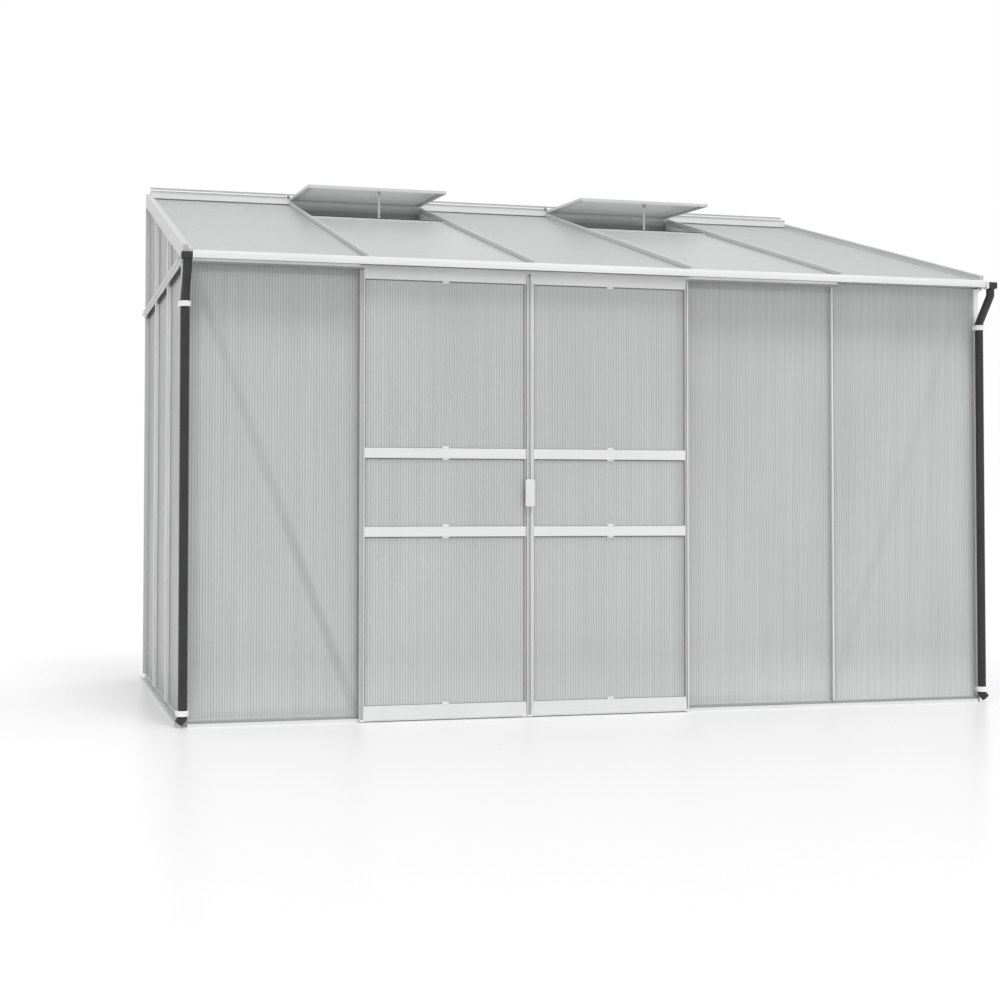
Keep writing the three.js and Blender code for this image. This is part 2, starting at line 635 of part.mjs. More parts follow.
function ventPane(margin = 0) {
  const grow = sheet.grip + margin;
  const x = ventWide / 2 - vent.rail + grow;
  return block(
    [-x, -vent.length + vent.rail - grow, ventMiddle - sheet.thick / 2 - margin],
    [x, -vent.topGap - vent.rail + grow, ventMiddle + sheet.thick / 2 + margin],
  );
}

// Hook that turns on the ridge's bead
function ventHook() {
  const inner = ridge.bead + seat;
  const outer = inner + vent.hook;
  const top = ventMiddle + vent.thick / 2 - vent.hook / 2;
  const outline = [
    ...arc([0, 0], outer, 65, 195, facets.hook * 2),
    [-vent.topGap - vent.hookFoot, top], [-vent.topGap, top],
    ...arc([0, 0], outer, 232, 245, 1),
    ...arc([0, 0], inner, 245, 65, facets.hook * 3),
  ];
  return prism('x', outline, -ventWide / 2, ventWide / 2);
}

const stayPivot = { y: stay.inset - vent.length, z: ventUnder - stay.drop };

function ventFrame() {
  const half = ventWide / 2;
  const window = rectangle(vent.rail - half, -vent.length + vent.rail, half - vent.rail, -vent.topGap - vent.rail);
  const ring = prism('z', rectangle(-half, -vent.length, half, -vent.topGap),
    ventUnder, ventUnder + vent.thick, [window]);
  const outer = stay.wide / 2 + seat + stay.ear;
  const x0 = stay.aside - outer;
  const x1 = stay.aside + outer;
  const under = ventUnder - stay.plate;
  const plateEnd = stayPivot.y + stay.earHalf;
  const plate = block([x0, stay.plateInset - vent.length, under], [x1, plateEnd, ventUnder + seat]);
  const ears = [x0, x1 - stay.ear].map((x) => block(
    [x, stayPivot.y - stay.earHalf, stayPivot.z - stay.earHalf], [x + stay.ear, plateEnd, under + seat],
  ));
  const pin = rod('x', [stayPivot.y, stayPivot.z], stay.pin, x0, x1, facets.knuckle);
  return carve(fuse(ring, ventHook(), plate, ...ears, pin), ventPane(seat));
}

// Stay: knuckle on the vent's pin and a flat arm with a row of holes, hanging plumb
function ventStay() {
  const half = stay.wide / 2;
  const knuckle = prism('x', circle([0, 0], stay.knuckle, facets.knuckle), -half, half);
  const holes = Array.from({ length: stay.holes }, (_, i) => (
    circle([0, -stay.firstHole - i * stay.holePitch], stay.hole, facets.hole)));
  const arm = prism('y', [
    ...arc([0, half - stay.length], half, 180, 360, facets.corner), [half, 0], [-half, 0],
  ], -stay.thick / 2, stay.thick / 2, holes);
  const bore = rod('x', [0, 0], stay.pin + seat, -half - overrun, half + overrun, facets.knuckle);
  return carve(fuse(knuckle, arm), bore);
}

// Polyline with its corners rounded by arcs
function roundedPath(points, radii, steps) {
  const path = [points[0]];
  for (let i = 1; i < points.length - 1; i += 1) {
    const before = new THREE.Vector3().subVectors(points[i - 1], points[i]).normalize();
    const after = new THREE.Vector3().subVectors(points[i + 1], points[i]).normalize();
    const turn = Math.PI - before.angleTo(after);
    const cutBack = radii[i - 1] * Math.tan(turn / 2);
    const start = points[i].clone().addScaledVector(before, cutBack);
    const end = points[i].clone().addScaledVector(after, cutBack);
    const curve = new THREE.QuadraticBezierCurve3(start, points[i], end);
    path.push(...curve.getPoints(steps));
  }
  path.push(points[points.length - 1]);
  return path;
}

// Rings of a tube whose walls follow a polyline, mitred at each of its points
function mitredRings(path, radius, steps) {
  const heading = path.slice(1).map((p, i) => p.clone().sub(path[i]).normalize());
  const first = heading[0];
  const side = new THREE.Vector3(1, 0, 0);
  const up = new THREE.Vector3().crossVectors(first, side).normalize();
  let ring = circle([0, 0], radius, steps)
    .map(([a, b]) => path[0].clone().addScaledVector(side, a).addScaledVector(up, b));
  const rings = [ring];
  for (let i = 1; i < path.length; i += 1) {
    const into = heading[i - 1];
    const normal = into.clone().add(heading[i] ?? into).normalize();
    ring = ring.map((q) => {
      const reach = path[i].clone().sub(q).dot(normal) / into.dot(normal);
      return q.clone().addScaledVector(into, reach);
    });
    rings.push(ring);
  }
  return rings;
}

// Open-ended tube with a bore along a polyline
function boredTube(path, radius, bore, steps) {
  const outer = mitredRings(path, radius, steps);
  const inner = mitredRings(path, bore, steps);
  const positions = [...outer, ...inner].flat().flatMap((p) => [p.x, p.y, p.z]);
  const index = [];
  const count = outer.length;
  const at = (ring, i) => ring * steps + (i % steps);
  const quad = (a, b, c, d) => index.push(a, b, c, a, c, d);
  for (let i = 0; i < steps; i += 1) {
    for (let r = 0; r < count - 1; r += 1) {
      quad(at(r, i), at(r, i + 1), at(r + 1, i + 1), at(r + 1, i));
      quad(at(count + r, i + 1), at(count + r, i), at(count + r + 1, i), at(count + r + 1, i + 1));
    }
    quad(at(0, i + 1), at(0, i), at(count, i), at(count, i + 1));
    quad(at(count - 1, i), at(count - 1, i + 1), at(2 * count - 1, i + 1), at(2 * count - 1, i));
  }
  const geometry = new THREE.BufferGeometry();
  geometry.setAttribute('position', new THREE.Float32BufferAttribute(positions, 3));
  geometry.setIndex(index);
  return geometry;
}

// Route of a downpipe, drawn for the right side and mirrored for the left one
function pipePath(side) {
  const point = (x, y, z) => new THREE.Vector3(side * x, y, z);
  return roundedPath([
    point(pipeX, pipe.neckY, gutterTop - pipe.neckDown), point(pipeX, pipe.neckY, gutterTop - pipe.kneeDown),
    point(pipeX, pipe.y, gutterTop - pipe.joinDown), point(pipeX, pipe.y, pipe.footZ),
    point(pipeX + pipe.shoeOut, pipe.y, pipe.shoeZ),
  ], [pipe.bend, pipe.bend, pipe.footBend], facets.bend);
}

function clipOutline(side) {
  const x = side * pipeX;
  const front = pipe.y - pipe.radius - clip.front;
  const back = -post.proud - seat;
  const r = clip.corner;
  return [
    [x + clip.half, back], [x - clip.half, back],
    ...arc([x - clip.half + r, front + r], r, 180, 270, facets.corner),
    ...arc([x + clip.half - r, front + r], r, 270, 360, facets.corner),
  ];
}

function downpipe(side) {
  const span = (a, b) => [Math.min(side * a, side * b), Math.max(side * a, side * b)];
  const steps = facets.pipe;
  const centre = [side * pipeX, pipe.y];
  const tube = boredTube(pipePath(side), pipe.radius, pipe.bore, steps);
  const join = gutterTop - pipe.joinDown;
  const collar = prism('z', circle(centre, socket.radius, steps), join - socket.under, join + socket.over,
    [circle(centre, clip.bore, steps)]);
  const clips = [gutterTop - clip.highDown, clip.low].map((z) => prism('z', clipOutline(side),
    z - clip.height / 2, z + clip.height / 2, [circle(centre, clip.bore, steps)]));
  const out = gutterHalf + seat + outlet.wide;
  const low = gutterTop - outlet.lowDown;
  const high = gutterTop - outlet.highDown;
  const [b0, b1] = span(gutterHalf + seat, out);
  const [c0, c1] = span(gutterHalf - overrun, out - outlet.wall);
  const box = block([b0, -outlet.front, low], [b1, -outlet.back, high]);
  const cavity = block([c0, outlet.wall - outlet.front, low + outlet.wall],
    [c1, -outlet.back - outlet.wall, high - outlet.wall]);
  const throat = rod('z', [side * pipeX, pipe.neckY], pipe.bore, low - overrun,
    low + 2 * overrun, steps);
  const shell = carve(box, cavity, throat);
  const neckCut = block([c0, outlet.wall - outlet.front, low + outlet.wall],
    [c1, -outlet.back - outlet.wall, high + overrun]);
  return fuse(shell, carve(tube, neckCut), collar, ...clips);
}

// Assembly
const greenhouse = new THREE.Group();
const roofFrame = new THREE.Group();
roofFrame.position.z = roof.eaveHeight;
roofFrame.rotation.x = roof.angle;
greenhouse.add(roofFrame);

const sides = [['left', -1], ['right', 1]];

greenhouse.add(meshOf('front_sill', frontSill(), aluminium()));
greenhouse.add(meshOf('gutter', gutterBeam(), aluminium()));
greenhouse.add(meshOf('ridge_plate', ridgePlate(), aluminium()));
greenhouse.add(meshOf('door_track', doorTrack(), aluminium()));

sides.forEach(([name, side]) => {
  greenhouse.add(meshOf(`${name}_sill`, sideSill(side), aluminium()));
  greenhouse.add(meshOf(`${name}_corner_post`, cornerPost(side), aluminium()));
  greenhouse.add(meshOf(`${name}_wall_post`, wallPost(side), aluminium()));
  greenhouse.add(meshOf(`${name}_eave_rail`, sideEaveRail(side), aluminium()));
  greenhouse.add(meshOf(`${name}_brace`, diagonalBrace(side), aluminium()));
  greenhouse.add(meshOf(`${name}_downpipe`, downpipe(side), blackPlastic()));
  roofFrame.add(meshOf(`${name}_gable_rafter`, gableRafter(side), aluminium()));
  for (let k = 1; k < bay.sideCount; k += 1) {
    greenhouse.add(meshOf(`${name}_side_bar_${k}`, sideBar(side, sideBarY(k)), aluminium()));
  }
  for (let k = 1; k <= bay.sideCount; k += 1) {
    const y0 = k === 1 ? post.tube - post.proud + seat : sideBarY(k - 1) + paneSide;
    const y1 = k === bay.sideCount ? depth - post.tube - seat : sideBarY(k) - paneSide;
    greenhouse.add(meshOf(`${name}_side_pane_${k}`, sidePane(side, y0, y1), twinwall()));
  }
});

greenhouse.add(meshOf('left_door_jamb', frontBar(frontBarX(1)), aluminium()));
greenhouse.add(meshOf('right_door_jamb', frontBar(frontBarX(door.meetBar + 1)), aluminium()));
greenhouse.add(meshOf('front_mullion', frontBar(frontBarX(4)), aluminium()));
[1, 4, 5].forEach((k) => {
  greenhouse.add(meshOf(`front_pane_${k}`, frontPane(bayLeft(k), bayRight(k)), twinwall()));
});

for (let k = 1; k < bay.frontCount; k += 1) {
  roofFrame.add(meshOf(`roof_bar_${k}`, roofBar(frontBarX(k)), aluminium()));
}
for (let k = 1; k <= bay.frontCount; k += 1) {
  const end = vent.bays.includes(k) ? sillAt - seat : sheetEnd;
  roofFrame.add(meshOf(`roof_pane_${k}`, roofPane(bayLeft(k), bayRight(k), end), twinwall()));
}

vent.bays.forEach((k, i) => {
  const name = `vent_${i + 1}`;
  const middle = (frontBarX(k - 1) + frontBarX(k)) / 2;
  roofFrame.add(meshOf(`${name}_sill`, ventSill(k), aluminium()));
  const leaf = new THREE.Group();
  leaf.position.set(middle, hinge.y, hinge.z);
  leaf.rotation.x = vent.openTilt;
  leaf.add(meshOf(`${name}_frame`, ventFrame(), aluminium()));
  leaf.add(meshOf(`${name}_pane`, ventPane(), twinwall()));
  const arm = new THREE.Group();
  arm.position.set(stay.aside, stayPivot.y, stayPivot.z);
  arm.rotation.x = -vent.openTilt;
  arm.add(meshOf(`${name}_stay`, ventStay(), aluminium()));
  leaf.add(arm);
  greenhouse.add(leaf);
});

Object.entries(doors).forEach(([name, leaf]) => {
  greenhouse.add(meshOf(`${name}_door_frame`, doorFrame(leaf), aluminium()));
  ['bottom', 'middle', 'top'].forEach((level, i) => {
    greenhouse.add(meshOf(`${name}_door_pane_${level}`, doorPane(leaf, doorWindows[i]), twinwall()));
  });
});
greenhouse.add(meshOf('door_handle', doorHandle(), whitePlastic()));

// The origin lies on the ground in the middle of the plan
const model = new THREE.Group();
greenhouse.position.y = (outlet.front - depth) / 2;
model.add(greenhouse);

export default model;
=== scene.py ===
import json
import math

import bmesh
import bpy
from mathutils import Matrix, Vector


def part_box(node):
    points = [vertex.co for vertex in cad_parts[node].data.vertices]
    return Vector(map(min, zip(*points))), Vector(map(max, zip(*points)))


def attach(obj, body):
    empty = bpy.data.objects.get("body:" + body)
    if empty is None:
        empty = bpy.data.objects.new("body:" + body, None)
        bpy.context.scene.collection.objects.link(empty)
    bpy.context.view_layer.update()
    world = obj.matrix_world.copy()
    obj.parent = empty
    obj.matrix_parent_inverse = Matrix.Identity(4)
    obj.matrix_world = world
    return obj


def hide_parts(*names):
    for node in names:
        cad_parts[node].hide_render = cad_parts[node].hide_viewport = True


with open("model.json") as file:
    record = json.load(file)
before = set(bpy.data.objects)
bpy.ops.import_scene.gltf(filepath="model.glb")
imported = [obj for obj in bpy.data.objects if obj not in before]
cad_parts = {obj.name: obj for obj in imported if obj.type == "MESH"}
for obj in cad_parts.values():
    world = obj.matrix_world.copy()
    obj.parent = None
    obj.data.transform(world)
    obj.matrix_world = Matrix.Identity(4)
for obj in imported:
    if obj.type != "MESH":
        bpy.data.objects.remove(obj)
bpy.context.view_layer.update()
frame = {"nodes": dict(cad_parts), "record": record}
nodes = frame["nodes"]
body_of = {n: b for b, ns in frame["record"]["behaviour"]["bodies"].items() for n in ns}

# Values shared with the CAD, in metres and radians. Y0 is the outer face of the front
# sheets, HALF_PANE that of the side sheets, and the margins lie before the first bays
ROOF = math.radians(14.7)
VENT = math.radians(3.05)
FLUTE = 0.010
Y0 = -0.872
PITCH = 0.620
EAVE = 1.690
HALF_PANE = 1.560
FRONT_MARGIN, SIDE_MARGIN = 0.010, 0.020
HINGE = Vector((0, 1.827 + Y0, 2.2084))
X, Y, Z = Vector((1, 0, 0)), Vector((0, 1, 0)), Vector((0, 0, 1))
ORIGIN = Vector((0, 0, 0))
UP_ROOF = Vector((0, math.cos(ROOF), math.sin(ROOF)))
OUT_ROOF = Vector((0, -math.sin(ROOF), math.cos(ROOF)))
UP_VENT = Vector((0, math.cos(VENT), math.sin(VENT)))
OUT_VENT = Vector((0, -math.sin(VENT), math.cos(VENT)))
EAVE_POINT = Vector((0, Y0, EAVE))
SIDES = ((-1, "left"), (1, "right"))
VENTS = ((1, -PITCH), (2, PITCH))
FRONT_BARS, ROOF_BARS, SIDE_BARS = (1, 3, 4), (1, 2, 3, 4), (1, 2)


def bar_x(k):
    """Middle of the front or roof bar after bay k."""
    return -HALF_PANE + FRONT_MARGIN + k * PITCH


def side_bar_y(k):
    """Middle of the side bar after bay k, from the front."""
    return Y0 + SIDE_MARGIN + k * PITCH


def roof_over(y):
    """Height of the roof sheets' line over a place on a side wall."""
    return EAVE + (y - Y0) * math.tan(ROOF)


# Materials

# Stretches of a noise: even, or drawn out into lines along an axis
EVEN = (1, 1, 1)
ALONG_X, ALONG_Y, ALONG_Z = (0.02, 1, 1), (1, 0.02, 1), (1, 1, 0.02)


def grey(v):
    return (v, v, v)


class Nodes:
    """A material's node tree, with short calls for the nodes used here."""

    def __init__(self, name):
        self.mat = bpy.data.materials.new(name)
        self.mat.use_nodes = True
        self.tree = self.mat.node_tree
        self.bsdf = self.tree.nodes["Principled BSDF"]
        self.out = self.tree.nodes["Material Output"]
        self.coords = self.add("ShaderNodeTexCoord")

    def add(self, kind, **values):
        n = self.tree.nodes.new(kind)
        for k, v in values.items():
            setattr(n, k, v)
        return n

    def link(self, a, b):
        self.tree.links.new(a, b)

    def feed(self, socket, value):
        if isinstance(value, bpy.types.NodeSocket):
            self.link(value, socket)
        else:
            socket.default_value = (*value, 1) if isinstance(value, tuple) else value

    def noise(self, scale, detail, stretch=EVEN):
        m = self.add("ShaderNodeMapping")
        m.inputs["Scale"].default_value = stretch
        self.link(self.coords.outputs["Object"], m.inputs["Vector"])
        n = self.add("ShaderNodeTexNoise")
        n.inputs["Scale"].default_value = scale
        n.inputs["Detail"].default_value = detail
        n.inputs["Roughness"].default_value = 0.55
        self.link(m.outputs["Vector"], n.inputs["Vector"])
        return n.outputs["Fac"]

    def ramp(self, fac, stops):
        r = self.add("ShaderNodeValToRGB")
        while len(r.color_ramp.elements) < len(stops):
            r.color_ramp.elements.new(0.5)
        for e, (pos, col) in zip(r.color_ramp.elements, stops):
            e.position = pos
            e.color = (*col, 1)
        self.link(fac, r.inputs["Fac"])
        return r.outputs["Color"]

    def span(self, fac, lo, hi, from_lo=0.3, from_hi=0.7):
        """Turns a value between from_lo and from_hi into one between lo and hi."""
        m = self.add("ShaderNodeMapRange")
        for k, v in (("From Min", from_lo), ("From Max", from_hi), ("To Min", lo), ("To Max", hi)):
            m.inputs[k].default_value = v
        self.link(fac, m.inputs["Value"])
        return m.outputs["Result"]

    def graded(self, axis, start, end, at_start, at_end):
        """A tone that changes evenly between two places along an axis."""
        place = self.add("ShaderNodeSeparateXYZ")
        self.link(self.coords.outputs["Object"], place.inputs["Vector"])
        return self.span(place.outputs[axis], at_start, at_end, start, end)

    def mix(self, fac, a, b, mode="MIX"):
        m = self.add("ShaderNodeMix", data_type="RGBA", blend_type=mode)
        for socket, value in ((m.inputs[0], fac), (m.inputs[6], a), (m.inputs[7], b)):
            self.feed(socket, value)
        return m.outputs[2]

    def times(self, a, b):
        return self.mix(1.0, a, b, "MULTIPLY")

    def bump(self, height, strength, distance):
        b = self.add("ShaderNodeBump")
        b.inputs["Strength"].default_value = strength
        b.inputs["Distance"].default_value = distance
        self.link(height, b.inputs["Height"])
        self.link(b.outputs["Normal"], self.bsdf.inputs["Normal"])

    def set(self, **values):
        for k, v in values.items():
            self.bsdf.inputs[k.replace("_", " ")].default_value = v


def aluminium(name, stretch, tone, metal=0.30, shade=None):
    """Satin extruded aluminium: faint draw lines along the section, soft tone changes. A shade
    (height, height, tone, tone) darkens it where it stays in the shadow of what hangs over it."""
    n = Nodes(name)
    lines = n.noise(scale=260.0, detail=2.0, stretch=stretch)
    broad = n.noise(scale=2.6, detail=4.0)
    low = tuple(c * tone for c in (0.775, 0.785, 0.782))
    high = tuple(c * tone for c in (0.835, 0.843, 0.840))
    drawn = n.ramp(lines, [(0.35, grey(0.955)), (0.65, grey(1))])
    base = n.times(n.ramp(broad, [(0.3, low), (0.7, high)]), drawn)
    if shade:
        base = n.times(base, n.graded("Z", *shade))
    n.link(base, n.bsdf.inputs["Base Color"])
    n.link(n.span(broad, 0.34, 0.46), n.bsdf.inputs["Roughness"])
    n.bump(lines, strength=0.10, distance=0.0003)
    n.set(Metallic=metal)
    return n.mat


def twinwall(name, tone, rib_tone, shades):
    """Fluted clear sheet: darker lines at the inner ribs and a milky body that lets blurred shapes
    through. Painted shade darkens it where a flange lies behind it, as its V coordinate tells, and
    shades paint light and shade along an axis, each with two places and their tones."""
    n = Nodes(name)
    uv = n.add("ShaderNodeSeparateXYZ")
    n.link(n.coords.outputs["UV"], uv.inputs["Vector"])
    fold = n.add("ShaderNodeMath", operation="PINGPONG")
    fold.inputs[1].default_value = 0.5
    n.link(uv.outputs["X"], fold.inputs[0])
    rib_core, rib_edge, behind_shade_tone = 0.10, 0.28, 0.50
    rib = n.span(fold.outputs[0], 1.0, 0.0, rib_core, rib_edge)
    cloud = n.noise(scale=3.1, detail=3.0, stretch=(1, 1, 0.35))
    streak = n.noise(scale=1.0, detail=2.0, stretch=(60, 60, 0.6))
    body = n.ramp(cloud, [(0.3, (0.655, 0.672, 0.662)), (0.7, (0.705, 0.722, 0.712))])
    body = n.times(body, n.ramp(streak, [(0.3, grey(0.93)), (0.7, grey(1.0))]))
    body = n.times(body, grey(tone))
    body = n.mix(rib, body, n.times(body, grey(rib_tone)))
    # Painted shade where a flange lies behind the sheet's edge, by the V coordinate
    body = n.mix(uv.outputs["Y"], body, n.times(body, grey(behind_shade_tone)))
    # Painted light and shade, graded along an axis
    for shade in shades:
        body = n.times(body, n.graded(*shade))
    n.link(body, n.bsdf.inputs["Base Color"])
    n.link(n.span(cloud, 0.28, 0.36), n.bsdf.inputs["Roughness"])
    n.bump(fold.outputs[0], strength=0.20, distance=0.0006)
    n.set(IOR=1.45, Transmission_Weight=0.44)
    # Light shines through it, dimmed
    path = n.add("ShaderNodeLightPath")
    clear = n.add("ShaderNodeBsdfTransparent")
    clear.inputs["Color"].default_value = (0.66, 0.68, 0.67, 1)
    mix = n.add("ShaderNodeMixShader")
    n.link(path.outputs["Is Shadow Ray"], mix.inputs[0])
    n.link(n.bsdf.outputs[0], mix.inputs[1])
    n.link(clear.outputs[0], mix.inputs[2])
    n.link(mix.outputs[0], n.out.inputs["Surface"])
    return n.mat


def moulded(name, low, high, rough, bump=0.10, grain=900.0):
    """Moulded plastic or rubber: fine skin grain and faint tone changes."""
    n = Nodes(name)
    broad = n.noise(scale=14.0, detail=4.0)
    skin = n.noise(scale=grain, detail=2.0)
    n.link(n.ramp(broad, [(0.3, low), (0.7, high)]), n.bsdf.inputs["Base Color"])
    n.link(n.span(broad, rough - 0.05, rough + 0.06), n.bsdf.inputs["Roughness"])
    n.bump(skin, strength=bump, distance=0.0002)
    return n.mat


# The three copies differ in their draw lines. The copy along Y is set darker as painted shade for the
# side sills.
alu_x = aluminium("aluminium_along_x", ALONG_X, tone=0.95)
alu_y = aluminium("aluminium_along_y", ALONG_Y, tone=0.86)
alu_z = aluminium("aluminium_along_z", ALONG_Z, tone=0.94)
# Painted shade: the gutter is darker towards its lower edge.
alu_gutter = aluminium("aluminium_gutter_painted_shade", ALONG_X, tone=1.08, metal=0.15,
                       shade=(1.649, 1.672, 0.86, 1.0))
# Painted shade: a darker copy of the aluminium for the gutter's underside and back.
alu_under_shade = aluminium("aluminium_under_eaves_painted_shade", ALONG_X, tone=0.56)
# Painted light and shade: the track is lighter above, with a dark band along its lower edge in the
# gutter's shadow.
alu_track = aluminium("aluminium_track_painted_light_and_shade", ALONG_X, tone=1.12, metal=0.2,
                      shade=(1.638, 1.641, 0.42, 1.0))
# Painted shade: the header is darker towards its top, under the gutter.
alu_header = aluminium("aluminium_header_painted_shade", ALONG_X, tone=1.0, shade=(1.600, 1.648, 1.0, 0.80))
# Painted shade: the ridge plate is dark along its lower part, under the vents.
alu_ridge = aluminium("aluminium_ridge_painted_shade", ALONG_X, tone=1.02, metal=0.2,
                      shade=(2.150, 2.176, 0.35, 1.0))
alu_gable = aluminium("aluminium_gable", ALONG_Y, tone=0.78)
alu_stile = aluminium("aluminium_stiles", ALONG_Z, tone=0.78)
# Painted shade: a darker copy of the aluminium for set-back faces and the sill's riser.
alu_set_back_shade = aluminium("aluminium_set_back_painted_shade", ALONG_Z, tone=0.56)
# Painted shade: a still darker copy of the aluminium for the vents' rail undersides.
alu_deep_shade = aluminium("aluminium_deep_set_painted_shade", ALONG_Z, tone=0.42)
# Painted light: a lighter copy for faces the light reaches too little, such as the right corner post
# beside its pipe, the side bars and the left leaf's outer side.
alu_lit = aluminium("aluminium_painted_light", ALONG_Z, tone=1.14, metal=0.1)
# Painted light and shade: the left brace is lighter than the bare aluminium and graded darker towards
# its foot.
alu_brace = aluminium("aluminium_brace", ALONG_Z, tone=1.12, metal=0.1,
                      shade=(0.15, 1.10, 0.56, 1.0))
# Painted shade: a dark copy of the same aluminium for the right brace.
alu_brace_shade = aluminium("aluminium_brace_painted_shade", ALONG_Z, tone=0.10, metal=0.6)
zinc = aluminium("plated_steel", EVEN, tone=0.70, metal=0.7)
# Painted light and shade: each sheet copy's tone is set for how light falls on its wall, the roof or
# the vents.
# The front is lighter towards its right end, its foot and its top, and the sides and the roof are
# darker towards the back.
# The low roof sheets below the vents are a lighter copy, with painted light against the vents' shade.
wall_sheet = twinwall("twinwall_front", tone=1.01, rib_tone=0.76, shades=[
    ("X", 0.30, 1.30, 1.0, 1.18), ("Z", 0.03, 0.22, 1.16, 1.0), ("Z", 1.45, 1.62, 1.0, 1.10)])
shaded_side_sheet = twinwall("twinwall_side_painted_shade", tone=0.89, rib_tone=0.86,
                      shades=[("Y", 0.30, 0.42, 1.0, 0.86)])
roof_sheet = twinwall("twinwall_roof", tone=1.04, rib_tone=0.93,
                      shades=[("Y", -0.95, 0.95, 0.97, 0.84)])
lit_low_roof_sheet = twinwall("twinwall_roof_low_painted_light", tone=1.07, rib_tone=0.93, shades=[])
vent_sheet = twinwall("twinwall_vent", tone=0.92, rib_tone=0.93, shades=[])
black = moulded("black_pipe", grey(0.013), grey(0.026), rough=0.45)
white = moulded("white_plastic", (0.80, 0.805, 0.80), (0.86, 0.86, 0.855), rough=0.42)
handle_white = moulded("white_handle", grey(0.66), grey(0.70), rough=0.45)
seal = moulded("grey_seal", grey(0.17), grey(0.23), rough=0.7, bump=0.25)
pale_seal = moulded("pale_seal", grey(0.42), grey(0.52), rough=0.7, bump=0.25)
# Black foam that also stands in for painted shade under the eave rails
foam_and_shade = moulded("grey_foam_and_shade", grey(0.055), grey(0.10), rough=0.85, bump=0.6, grain=350.0)
dark = moulded("black_rubber", grey(0.022), grey(0.036), rough=0.65, bump=0.25)


# Finishes of the CAD nodes

def finish_of(o, *mats):
    o.data.materials.clear()
    for m in mats:
        o.data.materials.append(m)


def dress(node, mats, choose):
    """Finishes a node's faces: choose says the material by a face and its centre, or None for the
    first one."""
    o = nodes[node]
    finish_of(o, *mats)
    for p in o.data.polygons:
        centre = sum((o.data.vertices[i].co for i in p.vertices), Vector()) / len(p.vertices)
        p.material_index = mats.index(choose(p, centre) or mats[0])


def sheet_of(name):
    if name in ("roof_pane_2", "roof_pane_4"):
        return lit_low_roof_sheet
    if name.startswith("roof"):
        return roof_sheet
    if name.startswith("vent"):
        return vent_sheet
    return shaded_side_sheet if "side" in name else wall_sheet


FINISH = [
    ("downpipe", black), ("handle", white), ("stay", zinc), ("gutter", alu_gutter),
    ("ridge_plate", alu_ridge), ("door_track", alu_track), ("front_sill", alu_x),
    ("left_sill", alu_y), ("right_sill", alu_y), ("vent_1_sill", alu_x), ("vent_2_sill", alu_x),
    ("gable_rafter", alu_gable), ("roof_bar", alu_y), ("eave_rail", alu_y),
    ("right_corner_post", alu_lit), ("left_brace", alu_brace),
    ("right_brace", alu_brace_shade), ("side_bar", alu_lit),
]
for name, o in nodes.items():
    found = [mat for word, mat in FINISH if word in name]
    finish_of(o, sheet_of(name) if "pane" in name else found[0] if found else alu_z)

# Each leaf's two sides and the widths of its stiles, then the rails' openings by height
DOORS = {
    "left": {"x0": -0.9435, "x1": -0.322, "stile0": 0.016, "stile1": 0.0065},
    "right": {"x0": -0.3205, "x1": 0.318, "stile0": 0.0275, "stile1": 0.016},
}
DOOR_FRONT = Y0 - 0.052
DOOR_SET_BACK = DOOR_FRONT + 0.004
DOOR_SHEET = DOOR_FRONT + 0.007
DOOR_TOP = 1.630
WINDOWS = [(0.058, 0.665), (0.7015, 0.950), (0.9865, 1.598)]
WHEEL_MIDDLE, WHEEL_REACH = Y0 - 0.034, 0.012
# How far a face's normal has to point along an axis to count as facing that way
FACING = 0.9


def window_sides(leaf):
    return leaf["x0"] + leaf["stile0"], leaf["x1"] - leaf["stile1"]


def gutter_finish(p, c):
    """Its underside and back lie in its own shadow."""
    behind_front, below_top = Y0 - 0.1205, 1.655
    return alu_under_shade if c.y > behind_front and c.z < below_top else None


def sill_finish(p, c):
    """Its riser behind the lip stays in shadow."""
    riser, near = Y0 - 0.008, 0.0005
    return alu_set_back_shade if abs(c.y - riser) < near else None


def vent_finish(middle):
    """The undersides of its side rails face away from the light."""
    side_rails = 0.285

    def choose(p, c):
        downward = p.normal.dot(OUT_VENT) < -FACING
        return alu_deep_shade if downward and abs(c.x - middle) > side_rails else None
    return choose


def door_finish(side, leaf):
    """Rails drawn along X, stiles along Z, wheels black. Painted shade falls on set-back faces, the
    right leaf's outer stile and the header band; painted light falls on the left leaf's outer side
    face.
    """
    x0, x1 = window_sides(leaf)
    near, level = 0.0005, 0.0002
    head = WINDOWS[-1][1] - 0.002

    def choose(p, c):
        wheel = c.z > DOOR_TOP + near and abs(c.y - WHEEL_MIDDLE) < WHEEL_REACH
        set_back = abs(c.y - DOOR_SET_BACK) < level
        left_side = side == "left" and p.normal.x < -FACING and c.x < leaf["x0"] + near
        right_stile = side == "right" and c.x > x1 + near and c.z < DOOR_TOP
        between_stiles = x0 - 2 * near < c.x < x1 + 2 * near
        if wheel:
            return dark
        # Painted light: the left leaf's outer side face gets the lighter copy.
        if left_side and not set_back:
            return alu_lit
        # Painted shade: set-back faces and the right leaf's outer stile.
        if set_back or right_stile:
            return alu_set_back_shade
        # Painted shade: the header band under the gutter.
        if c.z > head and (between_stiles or c.z > DOOR_TOP):
            return alu_header
        return alu_x if x0 - near < c.x < x1 + near else None
    return choose


dress("gutter", (alu_gutter, alu_under_shade), gutter_finish)
dress("front_sill", (alu_x, alu_set_back_shade), sill_finish)
for index, middle in VENTS:
    dress(f"vent_{index}_frame", (alu_y, alu_deep_shade), vent_finish(middle))
for side, leaf in DOORS.items():
    dress(f"{side}_door_frame", (alu_stile, alu_x, alu_header, alu_set_back_shade, alu_lit, dark),
          door_finish(side, leaf))


# Mesh helpers

